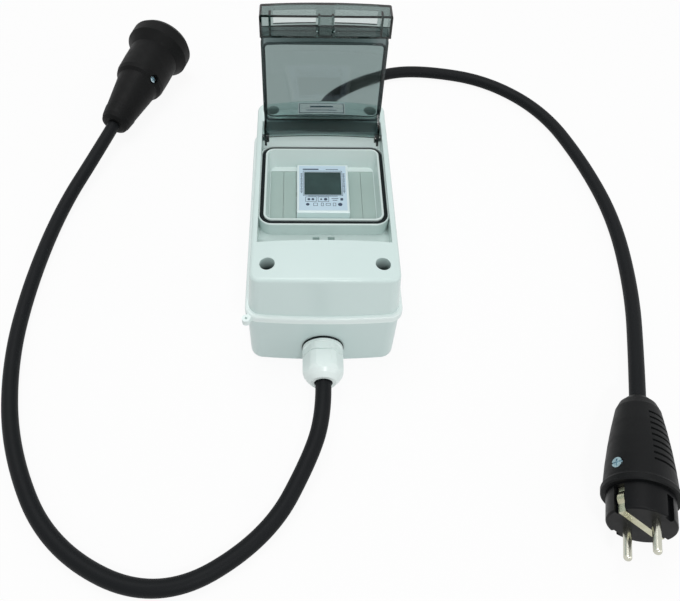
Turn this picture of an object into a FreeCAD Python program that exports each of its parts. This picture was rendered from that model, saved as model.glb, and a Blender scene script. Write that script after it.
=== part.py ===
import FreeCAD, Part
import math
import os
from FreeCAD import Vector

# In-line energy meter: a two-module meter on a rail inside a sealed four-module box,
# with a plug on one lead and a socket on the other.
# Millimetres. The box lies on its back: X to the right, Y away along the box, Z up.
# The origin is the centre of the box's back face.

# Box, seen from above
RIM_HALF_WIDTH = 51.0
RIM_HALF_LENGTH = 87.0
END_BOW = 1.7
CORNER_RADIUS = 9.0
WALL = 2.6
FLOOR = 3.0

# Base shell
BASE_HEIGHT = 47.5
RIM_STANDS_OUT = 1.4
BASE_DRAFT = 0.4
BACK_EDGE_RADIUS = 3.5
TONGUE_HEIGHT = 3.0
TONGUE_CLEARANCE = 0.2
SEAL_THICKNESS = 1.5

# Front cover
RIM_HEIGHT = 6.5
RIM_ROUNDING = 1.7
COVER_FOOT_INSET = 1.9
COVER_EDGE_HEIGHT = 86.6
CROWN = 2.8
COVER_TOP_INSET_X = 4.4
COVER_TOP_INSET_Y = 4.2
COVER_EDGE_RADIUS = 2.5
EYELET_RADIUS = 2.7
EYELET_HOLE_RADIUS = 0.9

# Cover screws and the posts that take them
SCREW_FROM_SIDE = 10.8
SCREW_FROM_NEAR_END = 13.0
SCREW_FROM_FAR_END = 8.4
SCREW_WELL_RADIUS = 4.8
SCREW_WELL_WALL = 1.8
SCREW_SEAT_HEIGHT = 60.0
SCREW_HEAD_RADIUS = 3.6
SCREW_HEAD_HEIGHT = 2.8
SCREW_SHANK_RADIUS = 1.95
SCREW_SHANK_LENGTH = 24.0
POST_RADIUS = 5.6

# Holes in the back for fixing the box to a wall
FIXING_SPACING_X = 60.0
FIXING_SPACING_Y = 112.0
FIXING_HOLE_RADIUS = 2.4

# Meter, rail and the window over it
METER_Y = 2.5
MODULE_WIDTH = 18.0
METER_MODULES = 2
WINDOW_MODULES = 4
MODULE_GAP = 0.2
METER_BODY_LENGTH = 88.0
METER_NOSE_LENGTH = 45.0
METER_BACK_HEIGHT = 16.5
METER_SPLIT_HEIGHT = 56.0
METER_SHOULDER_HEIGHT = 65.5
METER_FACE_HEIGHT = 80.0
METER_WALL = 1.8
METER_CAVITY_LENGTH = 56.0
METER_FACE_BORDER = 1.6
FACEPLATE_THICKNESS = 0.4
BOARD_LENGTH = 40.0
BOARD_THICKNESS = 1.6
BLANK_DEPTH = 3.5
BLANK_WALL = 1.0
RAIL_FRONT_HEIGHT = 21.5
RAIL_WIDTH = 35.0
RAIL_BASE_WIDTH = 25.0
RAIL_DEPTH = 7.5
RAIL_THICKNESS = 1.0
RAIL_END_GAP = 2.0
RAIL_SCREW_FROM_END = 9.0
RAIL_SCREW_RADIUS = 1.6
RAIL_POST_RADIUS = 4.6
DISPLAY_WIDTH = 25.4
DISPLAY_LENGTH = 22.0
DISPLAY_SHIFT_Y = 4.2

# Recess for the lid, with the window well inside it
RECESS_HALF_WIDTH = 42.8
RECESS_NEAR_Y = -52.0
TROUGH_HEIGHT = 74.0
WINDOW_RIM_LIP = 1.3
WINDOW_RIM_ROUNDING = 0.8
WINDOW_RIM_HEIGHT = 84.0
WELL_LIP_HEIGHT = 84.5
WELL_TOP_HALF_WIDTH = 38.2
WELL_TOP_HALF_LENGTH = 32.2
WELL_FLOOR_HALF_WIDTH = 36.4
WELL_FLOOR_HALF_LENGTH = 27.2
WELL_FLOOR_HEIGHT = 72.8
WELL_CORNER_RADIUS = 4.5
WELL_LIP = 1.3
PANEL = 2.0
GASKET_WIDTH = 2.4
GASKET_FLOOR_HEIGHT = 81.0
GASKET_HEIGHT = 2.6
LATCH_SLOT_X = 5.0
LATCH_SLOT_WIDTH = 4.4
LATCH_SLOT_LENGTH = 4.2
LATCH_SLOT_FROM_RIM = 2.0
LATCH_SLOT_DEPTH = 3.0

# Plate on the far land
LABEL_WIDTH = 34.8
LABEL_LENGTH = 12.4
LABEL_FROM_END = 1.8
LABEL_THICKNESS = 0.35

# Lid: sizes with the lid shut, then the angle it stands open at rest
HINGE_Y = 52.5
HINGE_Z = 80.0
LID_HALF_WIDTH = 41.2
LID_SKIN = 2.2
LID_BELOW_COVER = 0.3
LID_END_GAP = 0.5
LID_WALL = 1.6
LID_FLOOR_GAP = 0.6
LID_RIM_GAP = 0.4
LID_BACK_REACH = 4.5
LID_BACK_ROUNDING = 1.5
LID_PANE_NEAR_Y = -23.2
LID_PANE_FAR_Y = 40.3
LID_PANE_CORNER_RADIUS = 3.0
LID_FRAME_FAR_Y = 50.8
LID_TIP_ROUNDING = 1.4
LID_EDGE_ROUNDING = 0.8
LID_HOOD_RIB_X = 35.4
LID_HOOD_RIB_DEPTH = 6.0
LID_RIB = 1.4
LID_OPEN_ANGLE = 90.0
LID_STOP_GAP = 0.3
HINGE_PIN_RADIUS = 2.4
HINGE_PIN_CLEARANCE = 0.08
HINGE_PIN_REACH = 3.0
HINGE_ARM_REACH = 3.8
HINGE_HUB_RADIUS = 3.4
HINGE_HUB_LENGTH = 3.2
STOP_HEIGHT_OVER_HINGE = 5.5
GRIP_LENGTH = 27.0
GRIP_WIDTH = 9.0
GRIP_FROM_END = 5.0
GRIP_DEPTH = 1.4
GRIP_X = 19.5
TONGUE_HALF_WIDTH = 4.9
TONGUE_DEPTH = 3.0
HOOK_THICKNESS = 1.8
HOOK_BARB = 0.8
HOOK_REACH = 2.2

# Cable glands, M20
GLAND_HEIGHT = 19.0
GLAND_THREAD_RADIUS = 9.9
GLAND_HOLE_CLEARANCE = 0.2
GLAND_RING_RADIUS = 14.0
GLAND_RING_THICKNESS = 1.5
GLAND_FLANGE_RADIUS = 13.6
GLAND_FLANGE = 2.4
GLAND_HEX_FLATS = 25.0
GLAND_HEX_LENGTH = 5.4
GLAND_NUT_FLATS = 25.4
GLAND_NUT_LENGTH = 18.4
GLAND_MOUTH_RADIUS = 6.1
MOUTH_DEPTH = 1.2
LOCKNUT_FLATS = 26.0
LOCKNUT_THICKNESS = 5.0
LOCKNUT_GAP = 0.25

# Leads, rubber sheathed, three cores
CORD_RADIUS = 5.25
WIRE_RADIUS = 1.5
LEAD_TAIL_INSIDE = 12.0

# The socket's lead, as it lies on the floor, from the near gland to the socket
SOCKET_LEAD_ROUTE = [
    (-7, -160, 13), (-34, -210, CORD_RADIUS), (-94, -245, CORD_RADIUS),
    (-160, -216, CORD_RADIUS), (-197, -156, CORD_RADIUS), (-213, -91, CORD_RADIUS),
    (-214, -23, CORD_RADIUS), (-206, 50, CORD_RADIUS)]

# The plug's lead, from the far gland to the plug
PLUG_LEAD_ROUTE = [
    (1, 161, 13), (18, 199, CORD_RADIUS), (65, 227, CORD_RADIUS), (105, 230, CORD_RADIUS),
    (161, 216, CORD_RADIUS), (206, 172, CORD_RADIUS), (227, 106, CORD_RADIUS),
    (237, 40, CORD_RADIUS), (231, -32, CORD_RADIUS)]

GLAND_RUN = 20.0
LEAD_END_RUN = 33.0

# Plug, two round pins with side earth contacts; lengths go back from its face
PLUG_FACE_X = 179.6
PLUG_FACE_Y = -209.5
PLUG_HEADING = -16.8
PLUG_SLOPE = 6.5
PLUG_ROLL = 57.0
PLUG_LENGTH = 88.0
PLUG_COLLAR_RADIUS = 22.3
PLUG_COLLAR_BACK = 21.6
PLUG_COLLAR_THICKNESS = 4.6
PLUG_INSERT_RADIUS = 19.2
PLUG_INSERT_DEPTH = 26.0
PIN_SPACING = 19.0
PIN_RADIUS = 2.4
PIN_LENGTH = 19.0
PIN_ROOT_RADIUS = 2.1
EARTH_GROOVE_WIDTH = 7.0
EARTH_GROOVE_DEPTH = 3.4
EARTH_STRAP_WIDTH = 4.6
EARTH_STRAP_THICKNESS = 0.8
PLUG_SCREW_BACK = 30.0
PLUG_GRIP_FROM_COLLAR = 12.0
PLUG_GRIP_PITCH = 4.6
PLUG_GRIP_COUNT = 9
SIDE_SCREW_RADIUS = 1.6
SIDE_SCREW_LENGTH = 9.0
SCREW_WAY_RADIUS = 3.7

# Socket on the other lead; lengths go forward from its cord end
SOCKET_TAIL_X = -175.7
SOCKET_TAIL_Y = 135.7
SOCKET_HEADING = 17.5
SOCKET_SLOPE = 6.3
SOCKET_SCREW_ANGLE = 29.0
SOCKET_LENGTH = 108.0
SOCKET_HEAD_RADIUS = 28.0
SOCKET_HEAD_LENGTH = 16.0
SOCKET_INSERT_RADIUS = 18.8
SOCKET_CUP_RADIUS = 22.0
SOCKET_WELL_RADIUS = 19.8
SOCKET_WELL_DEPTH = 17.5
SOCKET_INSERT_FLOOR = 24.0
SLEEVE_CLEARANCE = 0.05
SLEEVE_WALL = 1.0
SOCKET_SCREW_FORWARD = 52.0
SOCKET_TAIL_RADIUS = 13.6
SOCKET_TAIL_BAND = 13.0
SOCKET_WAIST_RADIUS = 18.2
SOCKET_GRIP_RADIUS = 22.0
SOCKET_STEP = 49.5

# Small clearances
PLAY = 0.3
FIT = 0.05

X_AXIS = Vector(1, 0, 0)
Y_AXIS = Vector(0, 1, 0)
Z_AXIS = Vector(0, 0, 1)

# Sizes that follow from the ones above
rim_top = BASE_HEIGHT + RIM_HEIGHT
seal_shelf_height = BASE_HEIGHT + TONGUE_HEIGHT + SEAL_THICKNESS
base_half_width = RIM_HALF_WIDTH - RIM_STANDS_OUT
base_half_length = RIM_HALF_LENGTH - RIM_STANDS_OUT
cover_top_half_width = RIM_HALF_WIDTH - COVER_TOP_INSET_X
cover_top_half_length = RIM_HALF_LENGTH - COVER_TOP_INSET_Y
crown_top = COVER_EDGE_HEIGHT + CROWN
crown_radius = (cover_top_half_width ** 2 + CROWN ** 2) / (2 * CROWN)
meter_half_width = METER_MODULES * MODULE_WIDTH / 2 - MODULE_GAP
window_half_width = WINDOW_MODULES * MODULE_WIDTH / 2
gasket_half_width = WELL_TOP_HALF_WIDTH + WELL_LIP
gasket_half_length = WELL_TOP_HALF_LENGTH + WELL_LIP
rim_half_width = gasket_half_width + GASKET_WIDTH + WINDOW_RIM_LIP
rim_half_length = gasket_half_length + GASKET_WIDTH + WINDOW_RIM_LIP
screw_x = cover_top_half_width - SCREW_FROM_SIDE
screw_near_y = SCREW_FROM_NEAR_END - cover_top_half_length
screw_far_y = cover_top_half_length - SCREW_FROM_FAR_END
rail_back_height = RAIL_FRONT_HEIGHT - RAIL_DEPTH
rail_half_length = base_half_width - WALL - RAIL_END_GAP
rail_screw_x = rail_half_length - RAIL_SCREW_FROM_END
slot_far_y = METER_Y - rim_half_length - LATCH_SLOT_FROM_RIM
slot_near_y = slot_far_y - LATCH_SLOT_LENGTH
lid_near_y = RECESS_NEAR_Y + LID_END_GAP
lid_back_y = HINGE_Y + LID_BACK_REACH
lid_rise = crown_top - LID_BELOW_COVER - HINGE_Z
hood_foot = TROUGH_HEIGHT + LID_FLOOR_GAP
hood_far_y = METER_Y - rim_half_length - LID_FLOOR_GAP
frame_foot = WELL_LIP_HEIGHT + LID_RIM_GAP
lid_swing = LID_BACK_ROUNDING + math.hypot(LID_BACK_REACH - LID_BACK_ROUNDING,
                                           lid_rise - LID_BACK_ROUNDING)
recess_far_y = HINGE_Y + lid_rise + LID_STOP_GAP
swing_far_y = HINGE_Y + lid_swing + LID_STOP_GAP
wall_face_y = base_half_length - BASE_DRAFT * (1 - GLAND_HEIGHT / BASE_HEIGHT) + END_BOW
gland_mouth_y = (wall_face_y + GLAND_RING_THICKNESS + GLAND_FLANGE + GLAND_HEX_LENGTH
                 + GLAND_NUT_LENGTH)
lead_start_y = gland_mouth_y - MOUTH_DEPTH


# Plain solids

def box(x0, x1, y0, y1, z0, z1):
    return Part.makeBox(x1 - x0, y1 - y0, z1 - z0, Vector(x0, y0, z0))


def rod(radius, start, end):
    run = end - start
    return Part.makeCylinder(radius, run.Length, start, run)


def post(radius, x, y, z0, z1):
    return Part.makeCylinder(radius, z1 - z0, Vector(x, y, z0))


def taper(radius0, radius1, x, y, z0, z1):
    return Part.makeCone(radius0, radius1, z1 - z0, Vector(x, y, z0))


def hex_bar(flats, z0, z1):
    corner = flats / math.sqrt(3)
    points = [Vector(corner * math.cos(math.radians(60 * i)),
                     corner * math.sin(math.radians(60 * i)), z0) for i in range(7)]
    return Part.Face(Part.makePolygon(points)).extrude(Vector(0, 0, z1 - z0))


def turned(profile):
    """A solid of revolution about Z from (radius, height) pairs."""
    points = [Vector(radius, 0, height) for radius, height in profile]
    face = Part.Face(Part.makePolygon(points + points[:1]))
    return face.revolve(Vector(0, 0, 0), Z_AXIS, 360)


def fused(shapes):
    first = shapes[0]
    return first.multiFuse(shapes[1:]).removeSplitter() if len(shapes) > 1 else first


def cut_all(shape, tools):
    return shape.cut(Part.makeCompound(tools))


def outline(half_width, half_length, radius, z, bow=0.0, y=0.0):
    """A rounded rectangle whose two ends bulge by the bow."""
    w, h, r = half_width, half_length, radius
    k = r * (1 - math.cos(math.radians(45)))
    edges = []
    for sx, sy in ((1, 1), (-1, 1), (-1, -1), (1, -1)):
        side = Vector(sx * w, y + sy * (h - r), z)
        end = Vector(sx * (w - r), y + sy * h, z)
        middle = Vector(sx * (w - k), y + sy * (h - k), z)
        if sx * sy > 0:
            edges.append(Part.Arc(side, middle, end).toShape())
        else:
            edges.append(Part.Arc(end, middle, side).toShape())
        if sx * sy > 0:
            other = Vector(-sx * (w - r), y + sy * h, z)
            if bow:
                top = Vector(0, y + sy * (h + bow), z)
                edges.append(Part.Arc(end, top, other).toShape())
            else:
                edges.append(Part.makeLine(end, other))
        else:
            edges.append(Part.makeLine(side, Vector(sx * w, y - sy * (h - r), z)))
    return Part.Wire(edges)


def tapered_block(lower, upper):
    return Part.makeLoft([lower, upper], True, True)


def prism(wire, height):
    return Part.Face(wire).extrude(Vector(0, 0, height))


def under_crown(shape, drop=0.0):
    """Trims a shape to the arched front of the cover, lowered by the drop."""
    top = crown_top - drop
    half = RIM_HALF_WIDTH + 5
    side = top - crown_radius + math.sqrt(crown_radius ** 2 - half ** 2)
    y = -RIM_HALF_LENGTH - 10
    left_top = Vector(-half, y, side)
    right_top = Vector(half, y, side)
    edges = [Part.makeLine(Vector(-half, y, 0), left_top),
             Part.Arc(left_top, Vector(0, y, top), right_top).toShape(),
             Part.makeLine(right_top, Vector(half, y, 0)),
             Part.makeLine(Vector(half, y, 0), Vector(-half, y, 0))]
    arch = Part.Face(Part.Wire(edges)).extrude(Vector(0, -2 * y, 0))
    return shape.common(arch)


def save(name, shape):
    shape.exportStep(os.path.join("parts", name + ".step"))
    count = len(shape.Solids)
    print("%-24s %2d solid(s) %10.1f mm3 valid %s" % (name, count, shape.Volume, shape.isValid()))


# Box

def base_block(inset, z0, z1):
    """The base's outline between two heights, drawn in by the inset."""
    def section(z):
        draft = BASE_DRAFT * (1 - z / BASE_HEIGHT) + inset
        return outline(base_half_width - draft, base_half_length - draft,
                       CORNER_RADIUS - inset, z, END_BOW)
    return tapered_block(section(z0), section(z1))


def cover_block(inset, z0, z1):
    """The cover's outline between two heights, drawn in by the inset."""
    def section(z):
        share = (z - BASE_HEIGHT) / (COVER_EDGE_HEIGHT - BASE_HEIGHT)
        width = COVER_FOOT_INSET + share * (COVER_TOP_INSET_X - COVER_FOOT_INSET)
        length = COVER_FOOT_INSET + share * (COVER_TOP_INSET_Y - COVER_FOOT_INSET)
        return outline(RIM_HALF_WIDTH - width - inset, RIM_HALF_LENGTH - length - inset,
                       CORNER_RADIUS - 2.0 * share - inset, z, END_BOW)
    return tapered_block(section(z0), section(z1))


def screw_places():
    return [(sx * screw_x, y) for sx in (-1, 1) for y in (screw_near_y, screw_far_y)]


def fixing_places():
    return [(sx * FIXING_SPACING_X / 2, sy * FIXING_SPACING_Y / 2)
            for sx in (-1, 1) for sy in (-1, 1)]


def base_shell():
    outer = base_block(0, 0, BASE_HEIGHT)
    back_edges = [e for e in outer.Edges
                  if all(abs(v.Z) < 0.001 for v in e.Vertexes) and abs(e.BoundBox.ZMax) < 0.001]
    outer = outer.makeFillet(BACK_EDGE_RADIUS, back_edges)
    hollow = base_block(WALL, FLOOR, BASE_HEIGHT + TONGUE_HEIGHT)
    tongue = prism(outline(base_half_width - WALL / 2, base_half_length - WALL / 2,
                           CORNER_RADIUS - WALL / 2, BASE_HEIGHT - 1, END_BOW), TONGUE_HEIGHT + 1)
    shell = outer.fuse(tongue).cut(hollow)
    posts = [post(POST_RADIUS, x, y, FLOOR - 1, seal_shelf_height) for x, y in screw_places()]
    posts += [post(RAIL_POST_RADIUS, sx * rail_screw_x, METER_Y, FLOOR - 1, rail_back_height)
              for sx in (-1, 1)]
    posts.append(earth_pedestal())
    shell = fused([shell] + posts)
    holes = [post(SCREW_SHANK_RADIUS + FIT, x, y, SCREW_SEAT_HEIGHT - SCREW_SHANK_LENGTH - 1,
                  seal_shelf_height + 1) for x, y in screw_places()]
    holes += [post(RAIL_SCREW_RADIUS + FIT, sx * rail_screw_x, METER_Y, FLOOR + 2,
                   rail_back_height + 1) for sx in (-1, 1)]
    holes += [post(FIXING_HOLE_RADIUS, x, y, -1, FLOOR + 1) for x, y in fixing_places()]
    for end in (-1, 1):
        wall = Vector(0, end * (wall_face_y - WALL - 3), GLAND_HEIGHT)
        outside = Vector(0, end * (wall_face_y + 3), GLAND_HEIGHT)
        face = Vector(0, end * (wall_face_y - 0.15), GLAND_HEIGHT)
        holes.append(rod(GLAND_THREAD_RADIUS + GLAND_HOLE_CLEARANCE, wall, outside))
        holes.append(rod(GLAND_RING_RADIUS + PLAY, face, outside))
    holes.append(post(1.5 + FIT, earth_x, earth_y, 6, EARTH_SEAT + 1))
    return cut_all(shell, holes)


def rim_bead():
    """The rounded band round the foot of the cover."""
    bead = prism(outline(RIM_HALF_WIDTH, RIM_HALF_LENGTH, CORNER_RADIUS, BASE_HEIGHT, END_BOW),
                 RIM_HEIGHT)
    rims = [e for e in bead.Edges if e.BoundBox.ZLength < 0.001]
    return bead.makeFillet(RIM_ROUNDING, rims)


def eyelet(sx, sy):
    """A sealing eye at one corner of the rim."""
    x = sx * (RIM_HALF_WIDTH - 1.2)
    y = sy * (RIM_HALF_LENGTH - 0.2)
    height = RIM_HEIGHT - 1.6
    z = BASE_HEIGHT + 0.8
    eye = post(EYELET_RADIUS, x, y, z, z + height)
    root = Part.makeBox(3.4, 5.0, height, Vector(-1.7, -5.0, z))
    root.rotate(Vector(0, 0, 0), Z_AXIS, math.degrees(math.atan2(-sx, sy)))
    root.translate(Vector(x, y, 0))
    return eye.fuse(root), post(EYELET_HOLE_RADIUS, x, y, z - 1, z + height + 1)


def well_block(inset, z0, z1):
    """The tapering window well, widened or drawn in by the inset."""
    def section(z):
        share = (z - WELL_FLOOR_HEIGHT) / (WELL_LIP_HEIGHT - WELL_FLOOR_HEIGHT)
        width = WELL_FLOOR_HALF_WIDTH + share * (WELL_TOP_HALF_WIDTH - WELL_FLOOR_HALF_WIDTH)
        length = WELL_FLOOR_HALF_LENGTH + share * (WELL_TOP_HALF_LENGTH - WELL_FLOOR_HALF_LENGTH)
        return outline(width - inset, length - inset, WELL_CORNER_RADIUS - inset, z, 0, METER_Y)
    return tapered_block(section(z0), section(z1))


def gasket_ring(side_gap, z0, z1):
    outer = prism(outline(gasket_half_width + GASKET_WIDTH + side_gap,
                          gasket_half_length + GASKET_WIDTH + side_gap,
                          WELL_CORNER_RADIUS + WELL_LIP + GASKET_WIDTH, z0, 0, METER_Y), z1 - z0)
    inner = prism(outline(gasket_half_width, gasket_half_length,
                          WELL_CORNER_RADIUS + WELL_LIP, z0, 0, METER_Y), z1 - z0)
    return outer.cut(inner)


def slots_box(sx, margin, z0, z1):
    """One latch slot, or the block round it when there is a margin."""
    half = LATCH_SLOT_WIDTH / 2 + margin
    return box(sx * LATCH_SLOT_X - half, sx * LATCH_SLOT_X + half,
               slot_near_y - margin, slot_far_y + margin, z0, z1)


def recess_backing():
    """Everything that closes the recess from below: tray, well and latch slots."""
    side = RECESS_HALF_WIDTH + 3.0
    tray = box(-side, side, RECESS_NEAR_Y - PANEL, swing_far_y + PANEL,
               TROUGH_HEIGHT - PANEL, crown_top)
    well = well_block(-PANEL, WELL_FLOOR_HEIGHT - PANEL, TROUGH_HEIGHT)
    latches = [slots_box(sx, PANEL, TROUGH_HEIGHT - LATCH_SLOT_DEPTH - PANEL, TROUGH_HEIGHT)
               for sx in (-1, 1)]
    return fused([tray, well] + latches)


def window_rim():
    """The raised rim that carries the gasket, its outer edge rounded."""
    rim = prism(outline(rim_half_width, rim_half_length,
                        WELL_CORNER_RADIUS + WELL_LIP + GASKET_WIDTH + WINDOW_RIM_LIP,
                        TROUGH_HEIGHT - 1, 0, METER_Y), WINDOW_RIM_HEIGHT - TROUGH_HEIGHT + 1)
    crest = [e for e in rim.Edges if e.BoundBox.ZMin > WINDOW_RIM_HEIGHT - 0.001]
    return rim.makeFillet(WINDOW_RIM_ROUNDING, crest)


def recess_space():
    """The open space of the recess, the well, the latch slots and the meter's aperture."""
    half = RECESS_HALF_WIDTH
    trough = box(-half, half, RECESS_NEAR_Y, recess_far_y, TROUGH_HEIGHT, crown_top + 5)
    swing = box(-half, half, HINGE_Y, swing_far_y, TROUGH_HEIGHT, HINGE_Z + STOP_HEIGHT_OVER_HINGE)
    lip = prism(outline(gasket_half_width, gasket_half_length, WELL_CORNER_RADIUS + WELL_LIP,
                        TROUGH_HEIGHT, 0, METER_Y), WELL_LIP_HEIGHT - TROUGH_HEIGHT)
    channel = gasket_ring(PLAY, GASKET_FLOOR_HEIGHT, crown_top)
    channel = channel.common(box(-half, half, RECESS_NEAR_Y, HINGE_Y, 0, crown_top))
    space = trough.cut(window_rim()).cut(lip).fuse(channel)
    well = well_block(0, WELL_FLOOR_HEIGHT, WELL_LIP_HEIGHT + 0.01)
    above = prism(outline(WELL_TOP_HALF_WIDTH, WELL_TOP_HALF_LENGTH, WELL_CORNER_RADIUS,
                          WELL_LIP_HEIGHT, 0, METER_Y), crown_top - WELL_LIP_HEIGHT + 1)
    aperture = box(-window_half_width, window_half_width,
                   METER_Y - METER_NOSE_LENGTH / 2 - PLAY, METER_Y + METER_NOSE_LENGTH / 2 + PLAY,
                   WELL_FLOOR_HEIGHT - PANEL - 1, WELL_FLOOR_HEIGHT + 1)
    slots = [slots_box(sx, 0, TROUGH_HEIGHT - LATCH_SLOT_DEPTH, TROUGH_HEIGHT + 1) for sx in (-1, 1)]
    reach = LID_HALF_WIDTH + HINGE_PIN_REACH + PLAY
    hinge_holes = rod(HINGE_PIN_RADIUS + HINGE_PIN_CLEARANCE,
                      Vector(-reach, HINGE_Y, HINGE_Z), Vector(reach, HINGE_Y, HINGE_Z))
    return [space, swing, well, above, aperture, hinge_holes] + slots


def front_cover():
    outer = under_crown(cover_block(0, BASE_HEIGHT, crown_top + 1))
    front_edges = [e for e in outer.Edges
                   if e.BoundBox.ZMin > COVER_EDGE_HEIGHT - 1.5 and e.Length > 3]
    outer = outer.makeFillet(COVER_EDGE_RADIUS, front_edges)
    hollow = under_crown(cover_block(WALL, seal_shelf_height - 1, crown_top), WALL)
    shelf = cover_block(WALL + 1.4, seal_shelf_height - 2, rim_top)
    below_rim = box(-RIM_HALF_WIDTH, RIM_HALF_WIDTH, -RIM_HALF_LENGTH, RIM_HALF_LENGTH, 0, rim_top)
    hollow = hollow.cut(below_rim).fuse(shelf)
    hollow = hollow.cut(recess_backing())
    wells = [post(SCREW_WELL_RADIUS + SCREW_WELL_WALL, x, y, seal_shelf_height, crown_top)
             for x, y in screw_places()]
    hollow = cut_all(hollow, wells)
    eyes = [eyelet(-1, -1), eyelet(1, 1)]
    body = fused([outer, rim_bead()] + [eye for eye, hole in eyes])
    groove = prism(outline(base_half_width - WALL / 2 + TONGUE_CLEARANCE,
                           base_half_length - WALL / 2 + TONGUE_CLEARANCE,
                           CORNER_RADIUS - WALL / 2, BASE_HEIGHT - 1, END_BOW),
                   seal_shelf_height - BASE_HEIGHT + 1)
    cuts = [hollow, groove] + [hole for eye, hole in eyes] + recess_space()
    for x, y in screw_places():
        cuts.append(taper(SCREW_WELL_RADIUS - 0.4, SCREW_WELL_RADIUS, x, y,
                          SCREW_SEAT_HEIGHT, crown_top + 1))
        cuts.append(post(SCREW_SHANK_RADIUS + PLAY, x, y, 0, SCREW_SEAT_HEIGHT + 1))
    for cutter in cuts:
        body = body.cut(cutter)
    return body


def cover_seal():
    """The soft ring on the base's tongue, pressed by the cover's shelf."""
    z = BASE_HEIGHT + TONGUE_HEIGHT
    outer = prism(outline(base_half_width - WALL / 2, base_half_length - WALL / 2,
                          CORNER_RADIUS - WALL / 2, z, END_BOW), seal_shelf_height - z)
    inner = prism(outline(base_half_width - WALL, base_half_length - WALL,
                          CORNER_RADIUS - WALL, z, END_BOW), seal_shelf_height - z)
    return outer.cut(inner)


def window_gasket():
    ring = gasket_ring(0, GASKET_FLOOR_HEIGHT, GASKET_FLOOR_HEIGHT + GASKET_HEIGHT)
    ring = ring.common(box(-RECESS_HALF_WIDTH, RECESS_HALF_WIDTH, RECESS_NEAR_Y, HINGE_Y,
                           0, crown_top))
    crest = [e for e in ring.Edges
             if e.BoundBox.ZMin > GASKET_FLOOR_HEIGHT + GASKET_HEIGHT - 0.001]
    return ring.makeFillet(0.6, crest)


def cover_screws():
    screws = []
    for x, y in screw_places():
        head = post(SCREW_HEAD_RADIUS, x, y, SCREW_SEAT_HEIGHT, SCREW_SEAT_HEIGHT + SCREW_HEAD_HEIGHT)
        head = head.makeFillet(0.6, [e for e in head.Edges if e.BoundBox.ZMin > SCREW_SEAT_HEIGHT + 1])
        shank = post(SCREW_SHANK_RADIUS, x, y, SCREW_SEAT_HEIGHT - SCREW_SHANK_LENGTH, SCREW_SEAT_HEIGHT)
        top = SCREW_SEAT_HEIGHT + SCREW_HEAD_HEIGHT
        slot = box(x - SCREW_HEAD_RADIUS, x + SCREW_HEAD_RADIUS, y - 0.5, y + 0.5, top - 1.1, top + 1)
        cross = box(x - 0.5, x + 0.5, y - 2.2, y + 2.2, top - 1.1, top + 1)
        screws.append(head.fuse(shank).cut(slot).cut(cross))
    return Part.makeCompound(screws)


def label_plate():
    """The small plate on the far land, bent to the arched front."""
    half = LABEL_WIDTH / 2
    near = cover_top_half_length - LABEL_FROM_END - LABEL_LENGTH
    plate = box(-half, half, near, near + LABEL_LENGTH, COVER_EDGE_HEIGHT, crown_top + 1)
    return under_crown(plate, -LABEL_THICKNESS).cut(under_crown(plate, -0.02))


# Lid, made shut and then swung open

def under_lid(shape, drop=0.0):
    """Trims a shape to the lid's arched outside, lowered by the drop."""
    return under_crown(shape, LID_BELOW_COVER + drop)


def mirrored_boxes(x0, x1, y0, y1, z0, z1):
    return [box(x0, x1, y0, y1, z0, z1), box(-x1, -x0, y0, y1, z0, z1)]


def below_skin(shape):
    """Trims an inner feature of the lid to the middle of the lid's skin."""
    return under_lid(shape, LID_SKIN / 2)


def lid_outside():
    """The lid as a solid block, with its outer edges rounded."""
    half = LID_HALF_WIDTH
    body = under_lid(box(-half, half, lid_near_y, lid_back_y, hood_foot, crown_top + 1))
    corners = [e for e in body.Edges
               if e.BoundBox.YMax < lid_near_y + 0.001 and e.BoundBox.ZLength > 3]
    body = body.makeFillet(LID_TIP_ROUNDING, corners)
    backs = [e for e in body.Edges
             if e.BoundBox.YMin > lid_back_y - 0.001 and e.BoundBox.ZMin > COVER_EDGE_HEIGHT - 1.5
             and e.BoundBox.XLength > half]
    body = body.makeFillet(LID_BACK_ROUNDING, backs)
    rims = [e for e in body.Edges
            if e.BoundBox.ZMin > COVER_EDGE_HEIGHT - 1.5 and e.BoundBox.YLength > 2 * half]
    return body.makeFillet(LID_EDGE_ROUNDING, rims)


def lid_hollows():
    """What is cut from the block: hood, clearance over the rim, pane and hinge end."""
    half = LID_HALF_WIDTH
    inner = half - LID_WALL
    arm_foot = HINGE_Z - HINGE_ARM_REACH
    rim_far_y = METER_Y + rim_half_length + LID_FLOOR_GAP
    low = hood_foot - 1
    hood = box(-inner, inner, lid_near_y + LID_WALL, hood_far_y - LID_WALL, low, crown_top)
    over_rim = box(-half - 1, half + 1, hood_far_y, rim_far_y, low, frame_foot)
    below_arms = box(-half - 1, half + 1, rim_far_y - 0.5, lid_back_y + 1, low, arm_foot)
    between_arms = box(-inner, inner, rim_far_y - 0.5, lid_back_y + 1, low, frame_foot)
    hinge_end = box(-inner, inner, LID_FRAME_FAR_Y, lid_back_y + 1, low, crown_top)
    pane = prism(outline(inner, (LID_PANE_FAR_Y - LID_PANE_NEAR_Y) / 2, LID_PANE_CORNER_RADIUS,
                         low, 0, (LID_PANE_FAR_Y + LID_PANE_NEAR_Y) / 2), crown_top - low)
    return [under_lid(hood, LID_SKIN), over_rim, below_arms, between_arms,
            under_lid(hinge_end, LID_SKIN), under_lid(pane, LID_SKIN)]


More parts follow.
